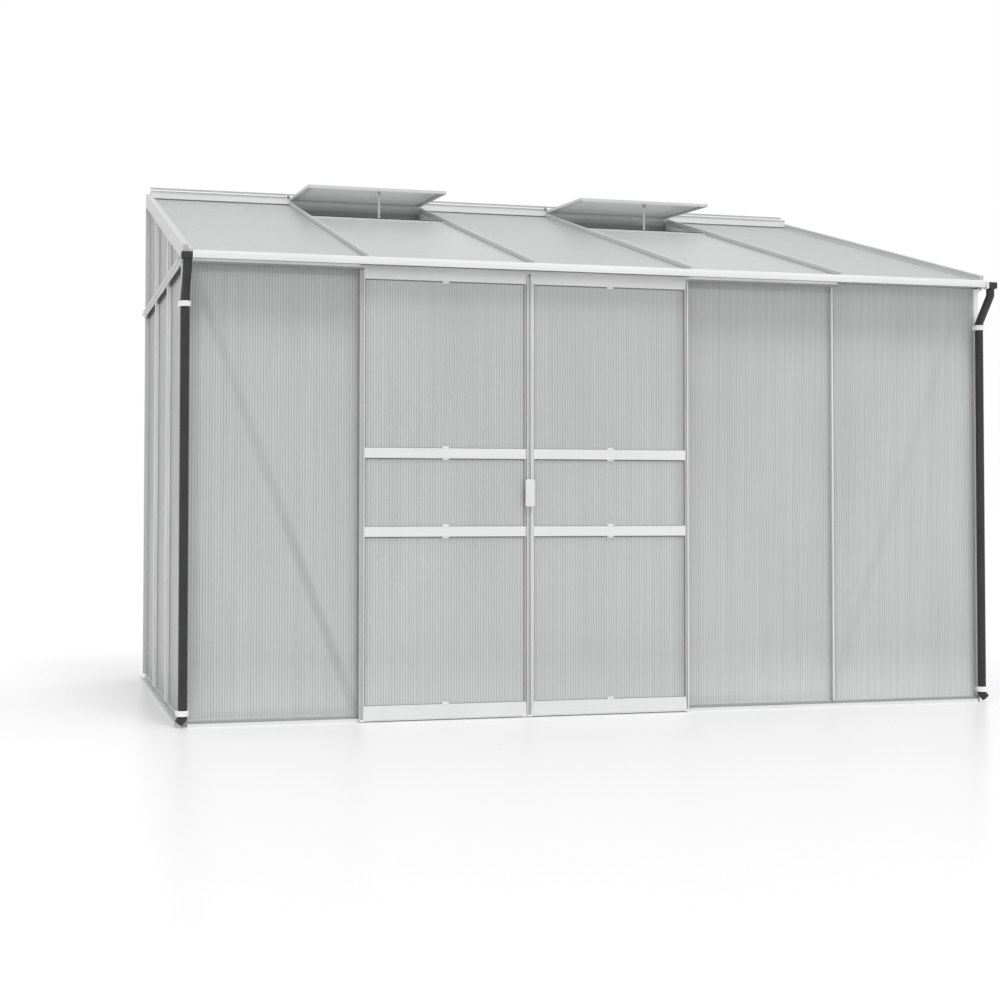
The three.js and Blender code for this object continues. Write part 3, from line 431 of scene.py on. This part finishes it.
def tidy_normals(o):
    bm = bmesh.new()
    bm.from_mesh(o.data)
    bmesh.ops.recalc_face_normals(bm, faces=bm.faces)
    bm.to_mesh(o.data)
    bm.free()


def piece(name, verts, faces, mat, body, slot, uvs=None, smooth=0.0, bevel=0.0):
    """A mesh that rides on a body. Smooth is the angle in degrees up to which edges look soft."""
    mesh = bpy.data.meshes.new(name)
    mesh.from_pydata([tuple(v) for v in verts], [], faces)
    if uvs is not None:
        layer = mesh.uv_layers.new(name="UVMap")
        for loop in mesh.loops:
            layer.data[loop.index].uv = uvs[loop.vertex_index]
    o = bpy.data.objects.new(name, mesh)
    bpy.context.scene.collection.objects.link(o)
    o.data.materials.append(mat)
    tidy_normals(o)
    if smooth:
        mesh.shade_smooth()
        mesh.set_sharp_from_angle(angle=math.radians(smooth))
    if bevel:
        m = o.modifiers.new("bevel", "BEVEL")
        m.width = bevel
        m.segments = 2
        m.limit_method = "ANGLE"
        m.angle_limit = math.radians(40)
    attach(o, body)
    return o


class Builder:
    """Gathers several closed forms into one mesh."""

    def __init__(self):
        self.verts, self.faces = [], []

    def loft(self, rings, closed=False):
        """Skin over rings of points, with flat ends, or closed from the last ring to the first."""
        base, count = len(self.verts), len(rings[0])
        for r in rings:
            self.verts.extend(Vector(p) for p in r)
        for i in range(len(rings) if closed else len(rings) - 1):
            a, b = base + i * count, base + ((i + 1) % len(rings)) * count
            for j in range(count):
                k = (j + 1) % count
                self.faces.append((a + j, a + k, b + k, b + j))
        if not closed:
            last = base + (len(rings) - 1) * count
            self.faces.append(tuple(base + j for j in reversed(range(count))))
            self.faces.append(tuple(last + j for j in range(count)))

    def prism(self, outline, origin, a, b, along, lo, hi):
        """An outline drawn on the axes a and b, pulled along a third from lo to hi."""
        self.loft([[origin + a * u + b * v + along * t for u, v in outline] for t in (lo, hi)])

    def box(self, lo, hi):
        self.prism(rectangle(lo[0], lo[1], hi[0], hi[1]), ORIGIN, X, Y, Z, lo[2], hi[2])

    def make(self, name, mat, body, slot, **options):
        return piece(name, self.verts, self.faces, mat, body, slot, **options)


def circle(radius, steps, start=0.0):
    return [(radius * math.cos(start + 2 * math.pi * i / steps),
             radius * math.sin(start + 2 * math.pi * i / steps)) for i in range(steps)]


def rectangle(u0, v0, u1, v1):
    return [(u0, v0), (u1, v0), (u1, v1), (u0, v1)]


def rounded(u0, v0, u1, v1, r, steps=5):
    """Rectangle with round corners."""
    points = []
    corners = ((u1 - r, v1 - r), (u0 + r, v1 - r), (u0 + r, v0 + r), (u1 - r, v0 + r))
    for quarter, (cu, cv) in enumerate(corners):
        for i in range(steps + 1):
            t = (quarter + i / steps) * math.pi / 2
            points.append((cu + r * math.cos(t), cv + r * math.sin(t)))
    return points


# Fluted sheets

def sheet_line(cells, pitch):
    """Points across a section's face: (distance, groove depth)."""
    groove, shoulder = 0.0003, 0.0011
    line = []
    for i in range(cells + 1):
        if i > 0:
            line.append((i * pitch - shoulder, 0.0))
        line.append((i * pitch, groove if 0 < i < cells else 0.0))
        if i < cells:
            line.append((i * pitch + shoulder, 0.0))
    return line


def edge_shade(c, width, left, right):
    """How much painted shade a flange behind a sheet's edge gives it; left and right are (reach,
    depth).
    """
    fade = 0.004
    near = max(0.0, min(1.0, (left[0] + fade - c) / fade)) * left[1]
    far = max(0.0, min(1.0, (c - width + right[0] + fade) / fade)) * right[1]
    return max(near, far)


def fluted_sheet(node, across, along, out, left=(0.0, 0.0), right=(0.0, 0.0)):
    """Sheet with a shallow line on both faces at each inner rib, in the place of its CAD node.
    U counts its ribs, V is the painted shade at its edges."""
    near = 1e-4
    pts = [v.co.copy() for v in nodes[node].data.vertices]
    a = [p.dot(across) for p in pts]
    n = [p.dot(out) for p in pts]
    a0, a1, n0, n1 = min(a), max(a), min(n), max(n)
    ends = [[p.dot(along) for p, q in zip(pts, a) if abs(q - edge) < near] for edge in (a0, a1)]
    width = a1 - a0
    cells = max(1, round(width / FLUTE))
    pitch = width / cells
    line = sheet_line(cells, pitch)
    ring = [(c, n1 - d) for c, d in line] + [(c, n0 + d) for c, d in reversed(line)]
    verts, uvs = [], []
    for pick in (min, max):
        low, high = pick(ends[0]), pick(ends[1])
        for c, d in ring:
            verts.append(across * (a0 + c) + out * d + along * (low + (high - low) * c / width))
            uvs.append((c / pitch, edge_shade(c, width, left, right)))
    count, half = len(ring), len(line)
    faces = [(j, (j + 1) % count, count + (j + 1) % count, count + j) for j in range(count)]
    for base in (0, count):
        faces += [(base + j, base + j + 1, base + count - 2 - j, base + count - 1 - j)
                  for j in range(half - 1)]
    o = piece(node.replace("pane", "fluted_sheet"), verts, faces, sheet_of(node), body_of[node],
              "twinwall_sheet", uvs=uvs)
    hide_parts(node)


# Painted shade at the sheets' edges, where flanges lie behind them: (reach, depth) at the left and
# right
FLANGE_SHADE = {
    "front_pane_1": ((0.006, 0.9), (0.009, 0.05)),
    "front_pane_4": ((0.008, 0.5), (0.010, 0.1)),
    "front_pane_5": ((0.008, 0.5), (0.027, 0.22)),
    "left_door": ((0.008, 0.35), (0.003, 0.2)),
    "right_door": ((0.014, 0.2), (0.012, 0.35)),
    "left_side": ((0.006, 0.3), (0.006, 0.4)),
    "right_side": ((0.006, 0.3), (0.006, 0.4)),
    "vent": ((0.016, 0.3), (0.016, 0.3)),
    "roof": ((0.0, 0.0), (0.0, 0.0)),
}


def sheet_axes(name):
    """Directions across a sheet's flutes, along them and outwards."""
    if "side_pane" in name:
        return Y, Z, -X if name.startswith("left") else X
    if name.startswith("roof"):
        return X, UP_ROOF, OUT_ROOF
    if name.startswith("vent"):
        return X, UP_VENT, OUT_VENT
    return X, Z, -Y


for name in sorted(nodes):
    if "pane" in name:
        bands = next(v for k, v in FLANGE_SHADE.items() if name.startswith(k))
        fluted_sheet(name, *sheet_axes(name), *bands)


# Seals, clips and feet of the doors

def door_gaskets_and_shade(side, x0, x1):
    """Dark gaskets round each sheet, the widest one at its top; they also stand in for the shade round
    the sheet and under the rail.
    """
    top, foot, left, right = 0.0045, 0.0012, 0.0040, 0.0030
    face, thin, thick = DOOR_SHEET, DOOR_SHEET - 0.0012, DOOR_SHEET - 0.0014
    b = Builder()
    for z0, z1 in WINDOWS:
        b.box((x0, thick, z1 - top), (x1, face, z1))
        b.box((x0, thin, z0), (x1, face, z0 + foot))
        b.box((x0, thin, z0 + foot), (x0 + left, face, z1 - top))
        b.box((x1 - right, thin, z0 + foot), (x1, face, z1 - top))
    b.make(f"{side}_door_gaskets_and_shade", seal, f"{side}_door", "twinwall_sheet")


def door_clips(side, middle):
    """Small sprung clips at the rails: the foot lies on the rail's face, the lip on the sheet."""
    half, foot, thick = 0.0125, 0.0028, 0.0008
    rail, over = DOOR_FRONT, DOOR_FRONT - thick
    crest, hollow, lip = DOOR_SHEET - 0.0034, DOOR_SHEET - 0.0025, DOOR_SHEET - 0.0015
    # The strip's outline: (depth, distance from the rail's edge towards the sheet)
    outline = [(rail, -foot), (over, -foot), (over, 0.0008), (crest, 0.0036), (crest, 0.0062),
               (lip, 0.0080), (lip, 0.0070), (hollow, 0.0060), (hollow, 0.0032), (rail, 0.0003)]
    b = Builder()
    for z0, z1 in WINDOWS:
        for edge, way in ((z1, -1), (z0, 1)):
            b.prism(outline, Vector((middle, 0, edge)), Y, Z * way, X, -half, half)
    b.make(f"{side}_door_clips", alu_x, f"{side}_door", "aluminium_sections")


def door_brush(side, leaf):
    """Strip that closes the gap between the bottom rail and the sill."""
    front, back, low, high = DOOR_FRONT + 0.003, DOOR_FRONT + 0.007, 0.0038, 0.0091
    from_left, from_right = 0.012, 0.004
    b = Builder()
    b.box((leaf["x0"] + from_left, front, low), (leaf["x1"] - from_right, back, high))
    b.make(f"{side}_door_brush", white, f"{side}_door", "white_handle")


def door_feet(side, leaf):
    """Glides at the ends of the bottom rail."""
    long, inset, corner = 0.018, 0.0005, 0.0012
    front, back, low, high = DOOR_FRONT - 0.0012, DOOR_FRONT + 0.014, 0.0030, 0.0088
    b = Builder()
    for x in (leaf["x0"] + inset, leaf["x1"] - inset - long):
        b.prism(rounded(x, front, x + long, back, corner, steps=3), ORIGIN, X, Y, Z, low, high)
    b.make(f"{side}_door_feet", white, f"{side}_door", "white_handle")


for side, leaf in DOORS.items():
    x0, x1 = window_sides(leaf)
    door_gaskets_and_shade(side, x0, x1)
    door_clips(side, (x0 + x1) / 2)
    door_brush(side, leaf)
    door_feet(side, leaf)


def closing_bead():
    """Bead on the outer part of the right door's outer stile."""
    x1 = DOORS["right"]["x1"]
    inset, wide, foot, clear = 0.0030, 0.0045, 0.0092, 0.0002
    b = Builder()
    b.box((x1 - inset - wide, DOOR_FRONT + clear, foot), (x1 - inset, DOOR_SET_BACK, DOOR_TOP))
    b.make("right_door_bead", alu_z, "right_door", "aluminium_sections", bevel=0.0006)


def door_handle():
    """Plate on the right door's inner stile, two feet and a grip over them."""
    right = DOORS["right"]["x0"] + 0.0245
    face = DOOR_FRONT - 0.0003
    low, high = 0.773, 0.876
    plate_wide, plate_thick, plate_corner = 0.026, 0.003, 0.004
    grip_wide, grip_corner, inset, ease = 0.035, 0.0045, 0.002, 0.001
    foot_wide, foot_high, foot_corner, foot_side = 0.021, 0.011, 0.003, 0.003
    foot_from, foot_to, feet = 0.0025, 0.013, (low + 0.004, high - 0.012)
    at_face = Vector((0, face, 0))
    b = Builder()
    b.prism(rounded(right - plate_wide, low, right, high, plate_corner),
            at_face, X, Z, -Y, 0.0, plate_thick)
    grip = rounded(right - grip_wide, low + inset, right, high - inset, grip_corner)
    slim = rounded(right - grip_wide + ease, low + inset + ease, right - ease,
                   high - inset - ease, plate_corner)
    layers = ((0.012, slim), (0.0132, grip), (0.0182, grip), (0.0196, slim))
    b.loft([[Vector((u, face - out, v)) for u, v in ring] for out, ring in layers])
    for z in feet:
        foot = rounded(right - foot_side - foot_wide, z, right - foot_side, z + foot_high,
                       foot_corner, steps=3)
        b.prism(foot, at_face, X, Z, -Y, foot_from, foot_to)
    o = b.make("handle", handle_white, "right_door", "white_handle", smooth=35)
    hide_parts("door_handle")


closing_bead()
door_handle()


# Downpipes

PIPE_X, PIPE_Y, PIPE_RADIUS, PIPE_BORE = 1.5675, Y0 - 0.027, 0.016, 0.014
OUTLET_Y, OUTLET_END = Y0 - 0.115, 1.5503
PIPE_STEPS = 40


def rounded_path(points, radii, steps):
    """Path through the points with its corners eased to the radii."""
    path = [points[0]]
    for i in range(1, len(points) - 1):
        p = points[i]
        before, after = (points[i - 1] - p).normalized(), (points[i + 1] - p).normalized()
        cut = radii[i - 1] * math.tan((math.pi - before.angle(after)) / 2)
        a, b = p + before * cut, p + after * cut
        for s in range(steps + 1):
            t = s / steps
            path.append(a * (1 - t) ** 2 + p * 2 * t * (1 - t) + b * t ** 2)
    path.append(points[-1])
    return path


def mitred(path, outline):
    """Rings of an outline carried along a path, each in the plane that halves its corner."""
    heads = [(b - a).normalized() for a, b in zip(path, path[1:])]
    up = heads[0].cross(X).normalized()
    ring = [path[0] + X * a + up * b for a, b in outline]
    rings = [ring]
    for i in range(1, len(path)):
        into = heads[i - 1]
        normal = (into + (heads[i] if i < len(heads) else into)).normalized()
        ring = [q + into * ((path[i] - q).dot(normal) / into.dot(normal)) for q in ring]
        rings.append(ring)
    return rings


def outlet_box(side, name):
    """Hollow cap at the gutter's end, and the pale plug that joins it to the gutter."""
    near, far = side * OUTLET_END, side * 1.5887
    wall, corner, edge = 0.0025, 0.004, 0.0015
    y0, y1, z0, z1 = Y0 - 0.136, Y0 - 0.096, 1.635, 1.661
    outer = [(y0 + corner, z0), (y1 - corner, z0), (y1, z0 + corner), (y1, z1 - corner),
             (y1 - corner, z1), (y0 + corner, z1), (y0, z1 - corner), (y0, z0 + corner)]
    my, mz = (y0 + y1) / 2, (z0 + z1) / 2
    ky, kz = 1 - 2 * wall / (y1 - y0), 1 - 2 * wall / (z1 - z0)
    inner = [(my + (y - my) * ky, mz + (z - mz) * kz) for y, z in outer]
    b = Builder()
    b.loft([[Vector((x, y, z)) for y, z in pts] for x, pts in
            ((far - side * wall, inner), (near, inner), (near, outer), (far - side * edge, outer),
             (far, inner))])
    b.make(f"{name}_outlet_box", black, "structure", "black_pipe", bevel=0.0010)
    plug, long, swell = Builder(), 0.004, 0.0008
    rim = [(y + swell * (1 if y > my else -1), z + swell * (1 if z > mz else -1)) for y, z in outer]
    plug.loft([[Vector((x, y, z)) for y, z in rim] for x in (side * (OUTLET_END - long), near)])
    plug.make(f"{name}_gutter_plug", white, "structure", "white_handle")


def pipe_clip(side, x, z, name):
    """Ring round the pipe on a flat stem, with a lug for its screw on the outer side."""
    outer, inner, edge, corner = 0.0215, 0.0160, 0.0008, 0.0010
    half = 0.0098
    back = Y0 - 0.0023
    stem, lug_in, lug_out, lug_thick = 0.0110, 0.0160, 0.0235, 0.0030
    behind, ease = PIPE_Y + 0.0150, 0.001
    b = Builder()
    shapes = ((inner, -half), (outer - edge, -half), (outer, corner - half),
              (outer, half - corner), (outer - edge, half), (inner, half))
    b.loft([[Vector((x + u, PIPE_Y + v, z + h)) for u, v in circle(r, PIPE_STEPS)] for r, h in shapes],
           closed=True)
    b.prism(rounded(x - stem, behind, x + stem, back, ease, steps=2), Vector((0, 0, z)),
            X, Y, Z, corner - half, half - corner)
    b.prism(rounded(-lug_in, -lug_thick, lug_out, 0.0, ease, steps=2), Vector((x, back, z)),
            X * side, Y, Z, corner - half, half - corner)
    b.make(name, white, "structure", "white_handle", smooth=35)


def downpipe(side, name):
    """Pipe with its swan neck and turned foot, the socket between the two, its box and clips."""
    x = side * PIPE_X
    top, neck, elbow, ankle, mouth = 1.6365, 1.608, 1.506, 0.0325, 0.0165
    turned_out, turned_forward = 0.0140, 0.003
    bends, clip_heights = (0.008, 0.008, 0.004), (1.489, 0.050)
    points = [Vector((x, y, z)) for y, z in
              ((OUTLET_Y, top), (OUTLET_Y, neck), (PIPE_Y, elbow), (PIPE_Y, ankle))]
    points.append(Vector((x + side * turned_out, PIPE_Y - turned_forward, mouth)))
    path = rounded_path(points, bends, steps=4)
    b = Builder()
    outside = mitred(path, circle(PIPE_RADIUS, PIPE_STEPS))
    inside = mitred(path, circle(PIPE_BORE, PIPE_STEPS))
    b.loft(outside + inside[::-1], closed=True)
    # The socket's section: (radius, height)
    socket = ((0.0166, 1.4992), (0.0178, 1.4996), (0.0178, 1.5035), (0.0165, 1.5045),
              (0.0155, 1.5045), (0.0155, 1.4992))
    b.loft([[Vector((x + u, PIPE_Y + v, z)) for u, v in circle(r, PIPE_STEPS)] for r, z in socket],
           closed=True)
    pipe = b.make(name + "_pipe", black, "structure", "black_pipe", smooth=32)
    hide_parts(name + "_downpipe")
    outlet_box(side, name)
    for i, z in enumerate(clip_heights):
        pipe_clip(side, x, z, f"{name}_pipe_clip_{i + 1}")


for side, name in SIDES:
    downpipe(side, name)


# Black foam under the eave rail of each side wall, between its bars, which also stands in for the
# shade under the rail

def eave_foam_and_shade(side, name):
    lo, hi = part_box(f"{name}_eave_rail")
    thick, clear, gap, hang, rise, post = 0.0076, 0.0002, 0.006, 0.004, 0.012, 0.024
    x0, x1 = sorted((side * (HALF_PANE + clear), side * (HALF_PANE + thick)))
    stops = [Y0 + post, *(side_bar_y(k) for k in SIDE_BARS), hi.y]
    b = Builder()
    for y0, y1 in zip(stops, stops[1:]):
        b.box((x0, y0 + gap, lo.z - hang), (x1, y1 - gap, lo.z + rise))
    b.make(f"{name}_eave_foam_and_shade", foam_and_shade, "structure", "black_pipe")


for side, name in SIDES:
    eave_foam_and_shade(side, name)


# Seals beside the noses of the glazing bars

def seal_strips(b, centre, across, out, along, lo, hi):
    """One strip on each side of a bar's stem."""
    stem, wide, high, clear = 0.0021, 0.0030, 0.0022, 0.0001
    for s in (-1, 1):
        u0, u1 = sorted((s * stem, s * (stem + wide)))
        b.prism(rectangle(u0, clear, u1, high), centre, across, out, along, lo, hi)


def bar_seals():
    front_foot, front_head, roof_foot, roof_head = 0.046, 1.610, -0.095, 1.33
    side_foot, below_roof = 0.030, 0.060
    front, roof = Builder(), Builder()
    for k in FRONT_BARS:
        seal_strips(front, Vector((bar_x(k), Y0, 0)), X, -Y, Z, front_foot, front_head)
    front.make("front_bar_seals", pale_seal, "structure", "twinwall_sheet")
    for k in ROOF_BARS:
        seal_strips(roof, EAVE_POINT + X * bar_x(k), X, OUT_ROOF, UP_ROOF, roof_foot, roof_head)
    roof.make("roof_bar_seals", pale_seal, "structure", "twinwall_sheet")
    for side, name in SIDES:
        b = Builder()
        for k in SIDE_BARS:
            y = side_bar_y(k)
            foot = Vector((side * HALF_PANE, y, 0))
            seal_strips(b, foot, Y, X * side, Z, side_foot, roof_over(y) - below_roof)
        b.make(f"{name}_bar_seals", pale_seal, "structure", "twinwall_sheet")


bar_seals()


# Seals of the roof vents and of the ridge

def sill_seal_and_shade(index, middle):
    """Black strip on the vent's sill, which also stands in for the shade in the opening under the
    vent.
    """
    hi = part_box(f"vent_{index}_sill")[1]
    half, from_back, wide, sunk, high = 0.300, 0.004, 0.008, 0.0005, 0.006
    back = hi.y - from_back
    b = Builder()
    b.box((middle - half, back - wide, hi.z - sunk), (middle + half, back, hi.z + high))
    b.make(f"vent_{index}_sill_seal_and_shade", dark, "structure", "black_pipe")


def vent_gaskets(index, middle):
    """Dark gaskets round the underside of the vent's sheet."""
    half_sheet, grip, wide, deep, clear = 0.294, 0.008, 0.004, 0.0016, 0.0001
    pts = [v.co for v in nodes[f"vent_{index}_pane"].data.vertices]
    under = min(p.dot(OUT_VENT) for p in pts)
    s0 = min(p.dot(UP_VENT) for p in pts) + grip
    s1 = max(p.dot(UP_VENT) for p in pts) - grip
    x0, x1 = middle - half_sheet + grip, middle + half_sheet - grip
    b = Builder()
    for u0, u1, v0, v1 in ((x0, x1, s0, s0 + wide), (x0, x1, s1 - wide, s1),
                           (x0, x0 + wide, s0 + wide, s1 - wide),
                           (x1 - wide, x1, s0 + wide, s1 - wide)):
        b.prism(rectangle(u0, v0, u1, v1), OUT_VENT * under, X, UP_VENT, OUT_VENT, -deep, -clear)
    b.make(f"vent_{index}_gaskets", seal, f"vent_{index}", "twinwall_sheet")


def ridge_seal_and_shade():
    """Strip on the ridge plate's back edge, against the house wall; it also stands in for the shadow
    line along the ridge's top.
    """
    lo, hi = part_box("ridge_plate")
    wide, sunk, high = 0.008, 0.0005, 0.004
    b = Builder()
    b.box((lo.x, hi.y - wide, hi.z - sunk), (hi.x, hi.y, hi.z + high))
    b.make("ridge_wall_seal_and_shade", pale_seal, "structure", "twinwall_sheet")


for index, middle in VENTS:
    sill_seal_and_shade(index, middle)
    vent_gaskets(index, middle)
ridge_seal_and_shade()


# Fasteners

def bolt(b, at, out, up):
    """Washer, nut and bolt end standing on a surface."""
    nut, washer_share, thread_share = 0.0058, 1.35, 0.52
    washer_top, nut_top, thread_top = 0.0012, 0.0058, 0.0095
    side = out.cross(up).normalized()
    for outline, lo, hi in ((circle(nut * washer_share, 20), 0.0, washer_top),
                            (circle(nut, 6, math.pi / 6), washer_top, nut_top),
                            (circle(nut * thread_share, 14), nut_top, thread_top)):
        b.prism(outline, at, side, up, out, lo, hi)


def screw(b, at, out, up):
    """Low round screw head."""
    head = 0.0042
    # Its profile: (share of the radius, height)
    profile = ((1.0, 0.0), (1.0, 0.0008), (0.82, 0.0020), (0.45, 0.0026))
    side = out.cross(up).normalized()
    b.loft([[at + side * (u * k) + up * (v * k) + out * h for u, v in circle(head, 18)]
            for k, h in profile])


def joint_bolts():
    """Inside: each bar's foot and head, at its bolt slot."""
    inner, foot, front_head = 0.048, 0.075, 1.575
    roof_foot, roof_head, below_roof = 0.045, 1.800, 0.10
    b = Builder()
    for k in FRONT_BARS:
        for z in (foot, front_head):
            bolt(b, Vector((bar_x(k), Y0 + inner, z)), Y, Z)
    for k in ROOF_BARS:
        for s in (roof_foot, roof_head):
            at = EAVE_POINT + X * bar_x(k) + UP_ROOF * s - OUT_ROOF * inner
            bolt(b, at, -OUT_ROOF, UP_ROOF)
    for side, _ in SIDES:
        for k in SIDE_BARS:
            y = side_bar_y(k)
            for z in (foot, roof_over(y) - below_roof):
                bolt(b, Vector((side * (HALF_PANE - inner), y, z)), -X * side, Z)
    b.make("joint_bolts", zinc, "structure", "aluminium_sections", smooth=30)


def hinge_stops():
    """Black stops that keep each vent from sliding along the ridge."""
    radius, reach, long = 0.0052, 0.3105, 0.009
    b = Builder()
    for _, middle in VENTS:
        for s in (-1, 1):
            b.prism(circle(radius, 20), HINGE + X * (middle + s * reach), Y, Z, X * s, 0.0, long)
    b.make("hinge_stops", seal, "structure", "black_pipe", smooth=35)


def vent_screws(index, middle):
    """Corner screws on top of the vent's side rails."""
    front_part, reach, places = -0.30, 0.297, (-0.536, -0.030)
    top = max(v.co.dot(OUT_VENT) for v in nodes[f"vent_{index}_frame"].data.vertices
              if (v.co - HINGE).dot(UP_VENT) < front_part)
    b = Builder()
    for s in (-1, 1):
        for along in places:
            at = HINGE + X * (middle + s * reach) + UP_VENT * along
            screw(b, at + OUT_VENT * (top - at.dot(OUT_VENT)), OUT_VENT, UP_VENT)
    b.make(f"vent_{index}_screws", zinc, f"vent_{index}", "aluminium_sections", smooth=40)


joint_bolts()
hinge_stops()
for index, middle in VENTS:
    vent_screws(index, middle)


# Floor, light, camera

def stage():
    half, near, far = 200, -60, 400
    corners = [(x, y, 0) for x, y in rectangle(-half, near, half, far)]
    mesh = bpy.data.meshes.new("floor")
    mesh.from_pydata(corners, [], [(0, 1, 2, 3)])
    floor = bpy.data.objects.new("floor", mesh)
    bpy.context.scene.collection.objects.link(floor)
    f = Nodes("pale_floor")
    patches = f.noise(scale=0.8, detail=3.0)
    f.link(f.ramp(patches, [(0.3, grey(0.95)), (0.7, grey(0.965))]), f.bsdf.inputs["Base Color"])
    f.set(Roughness=0.30, Specular_IOR_Level=0.30)
    finish_of(floor, f.mat)


def lighting():
    """A white backdrop for the camera, a softer sky, a soft sun from above and in front."""
    world = bpy.data.worlds.new("studio")
    bpy.context.scene.world = world
    world.use_nodes = True
    tree = world.node_tree
    tree.nodes.clear()
    path = tree.nodes.new("ShaderNodeLightPath")
    out = tree.nodes.new("ShaderNodeOutputWorld")

    def background(level):
        b = tree.nodes.new("ShaderNodeBackground")
        b.inputs["Color"].default_value = (level, level, level, 1)
        return b.outputs[0]

    def choose(fac, a, b):
        m = tree.nodes.new("ShaderNodeMixShader")
        tree.links.new(fac, m.inputs[0])
        tree.links.new(a, m.inputs[1])
        tree.links.new(b, m.inputs[2])
        return m.outputs[0]

    sky_level, through_sheets, backdrop = 0.86, 0.62, 1.0
    sky = choose(path.outputs["Is Transmission Ray"], background(sky_level),
                 background(through_sheets))
    sky = choose(path.outputs["Is Camera Ray"], sky, background(backdrop))
    tree.links.new(sky, out.inputs["Surface"])
    sun = bpy.data.lights.new("key", "SUN")
    sun.energy = 1.2
    sun.angle = math.radians(20)
    key = bpy.data.objects.new("key", sun)
    key.rotation_euler = (math.radians(30), math.radians(6), 0)
    bpy.context.scene.collection.objects.link(key)


def camera():
    """The photo's view, solved from its lines."""
    data = bpy.data.cameras.new("camera")
    data.sensor_width = 36
    data.lens = 64.43
    data.shift_x = -0.0255
    data.shift_y = -0.0504
    data.clip_end = 1000
    cam = bpy.data.objects.new("camera", data)
    cam.location = (-2.12895, -6.40485 + Y0, 0.76874)
    cam.rotation_euler = (math.radians(91.87), 0, math.radians(-15.84))
    bpy.context.scene.collection.objects.link(cam)
    bpy.context.scene.camera = cam
    bpy.context.scene.view_settings.view_transform = "Standard"


stage()
lighting()
camera()
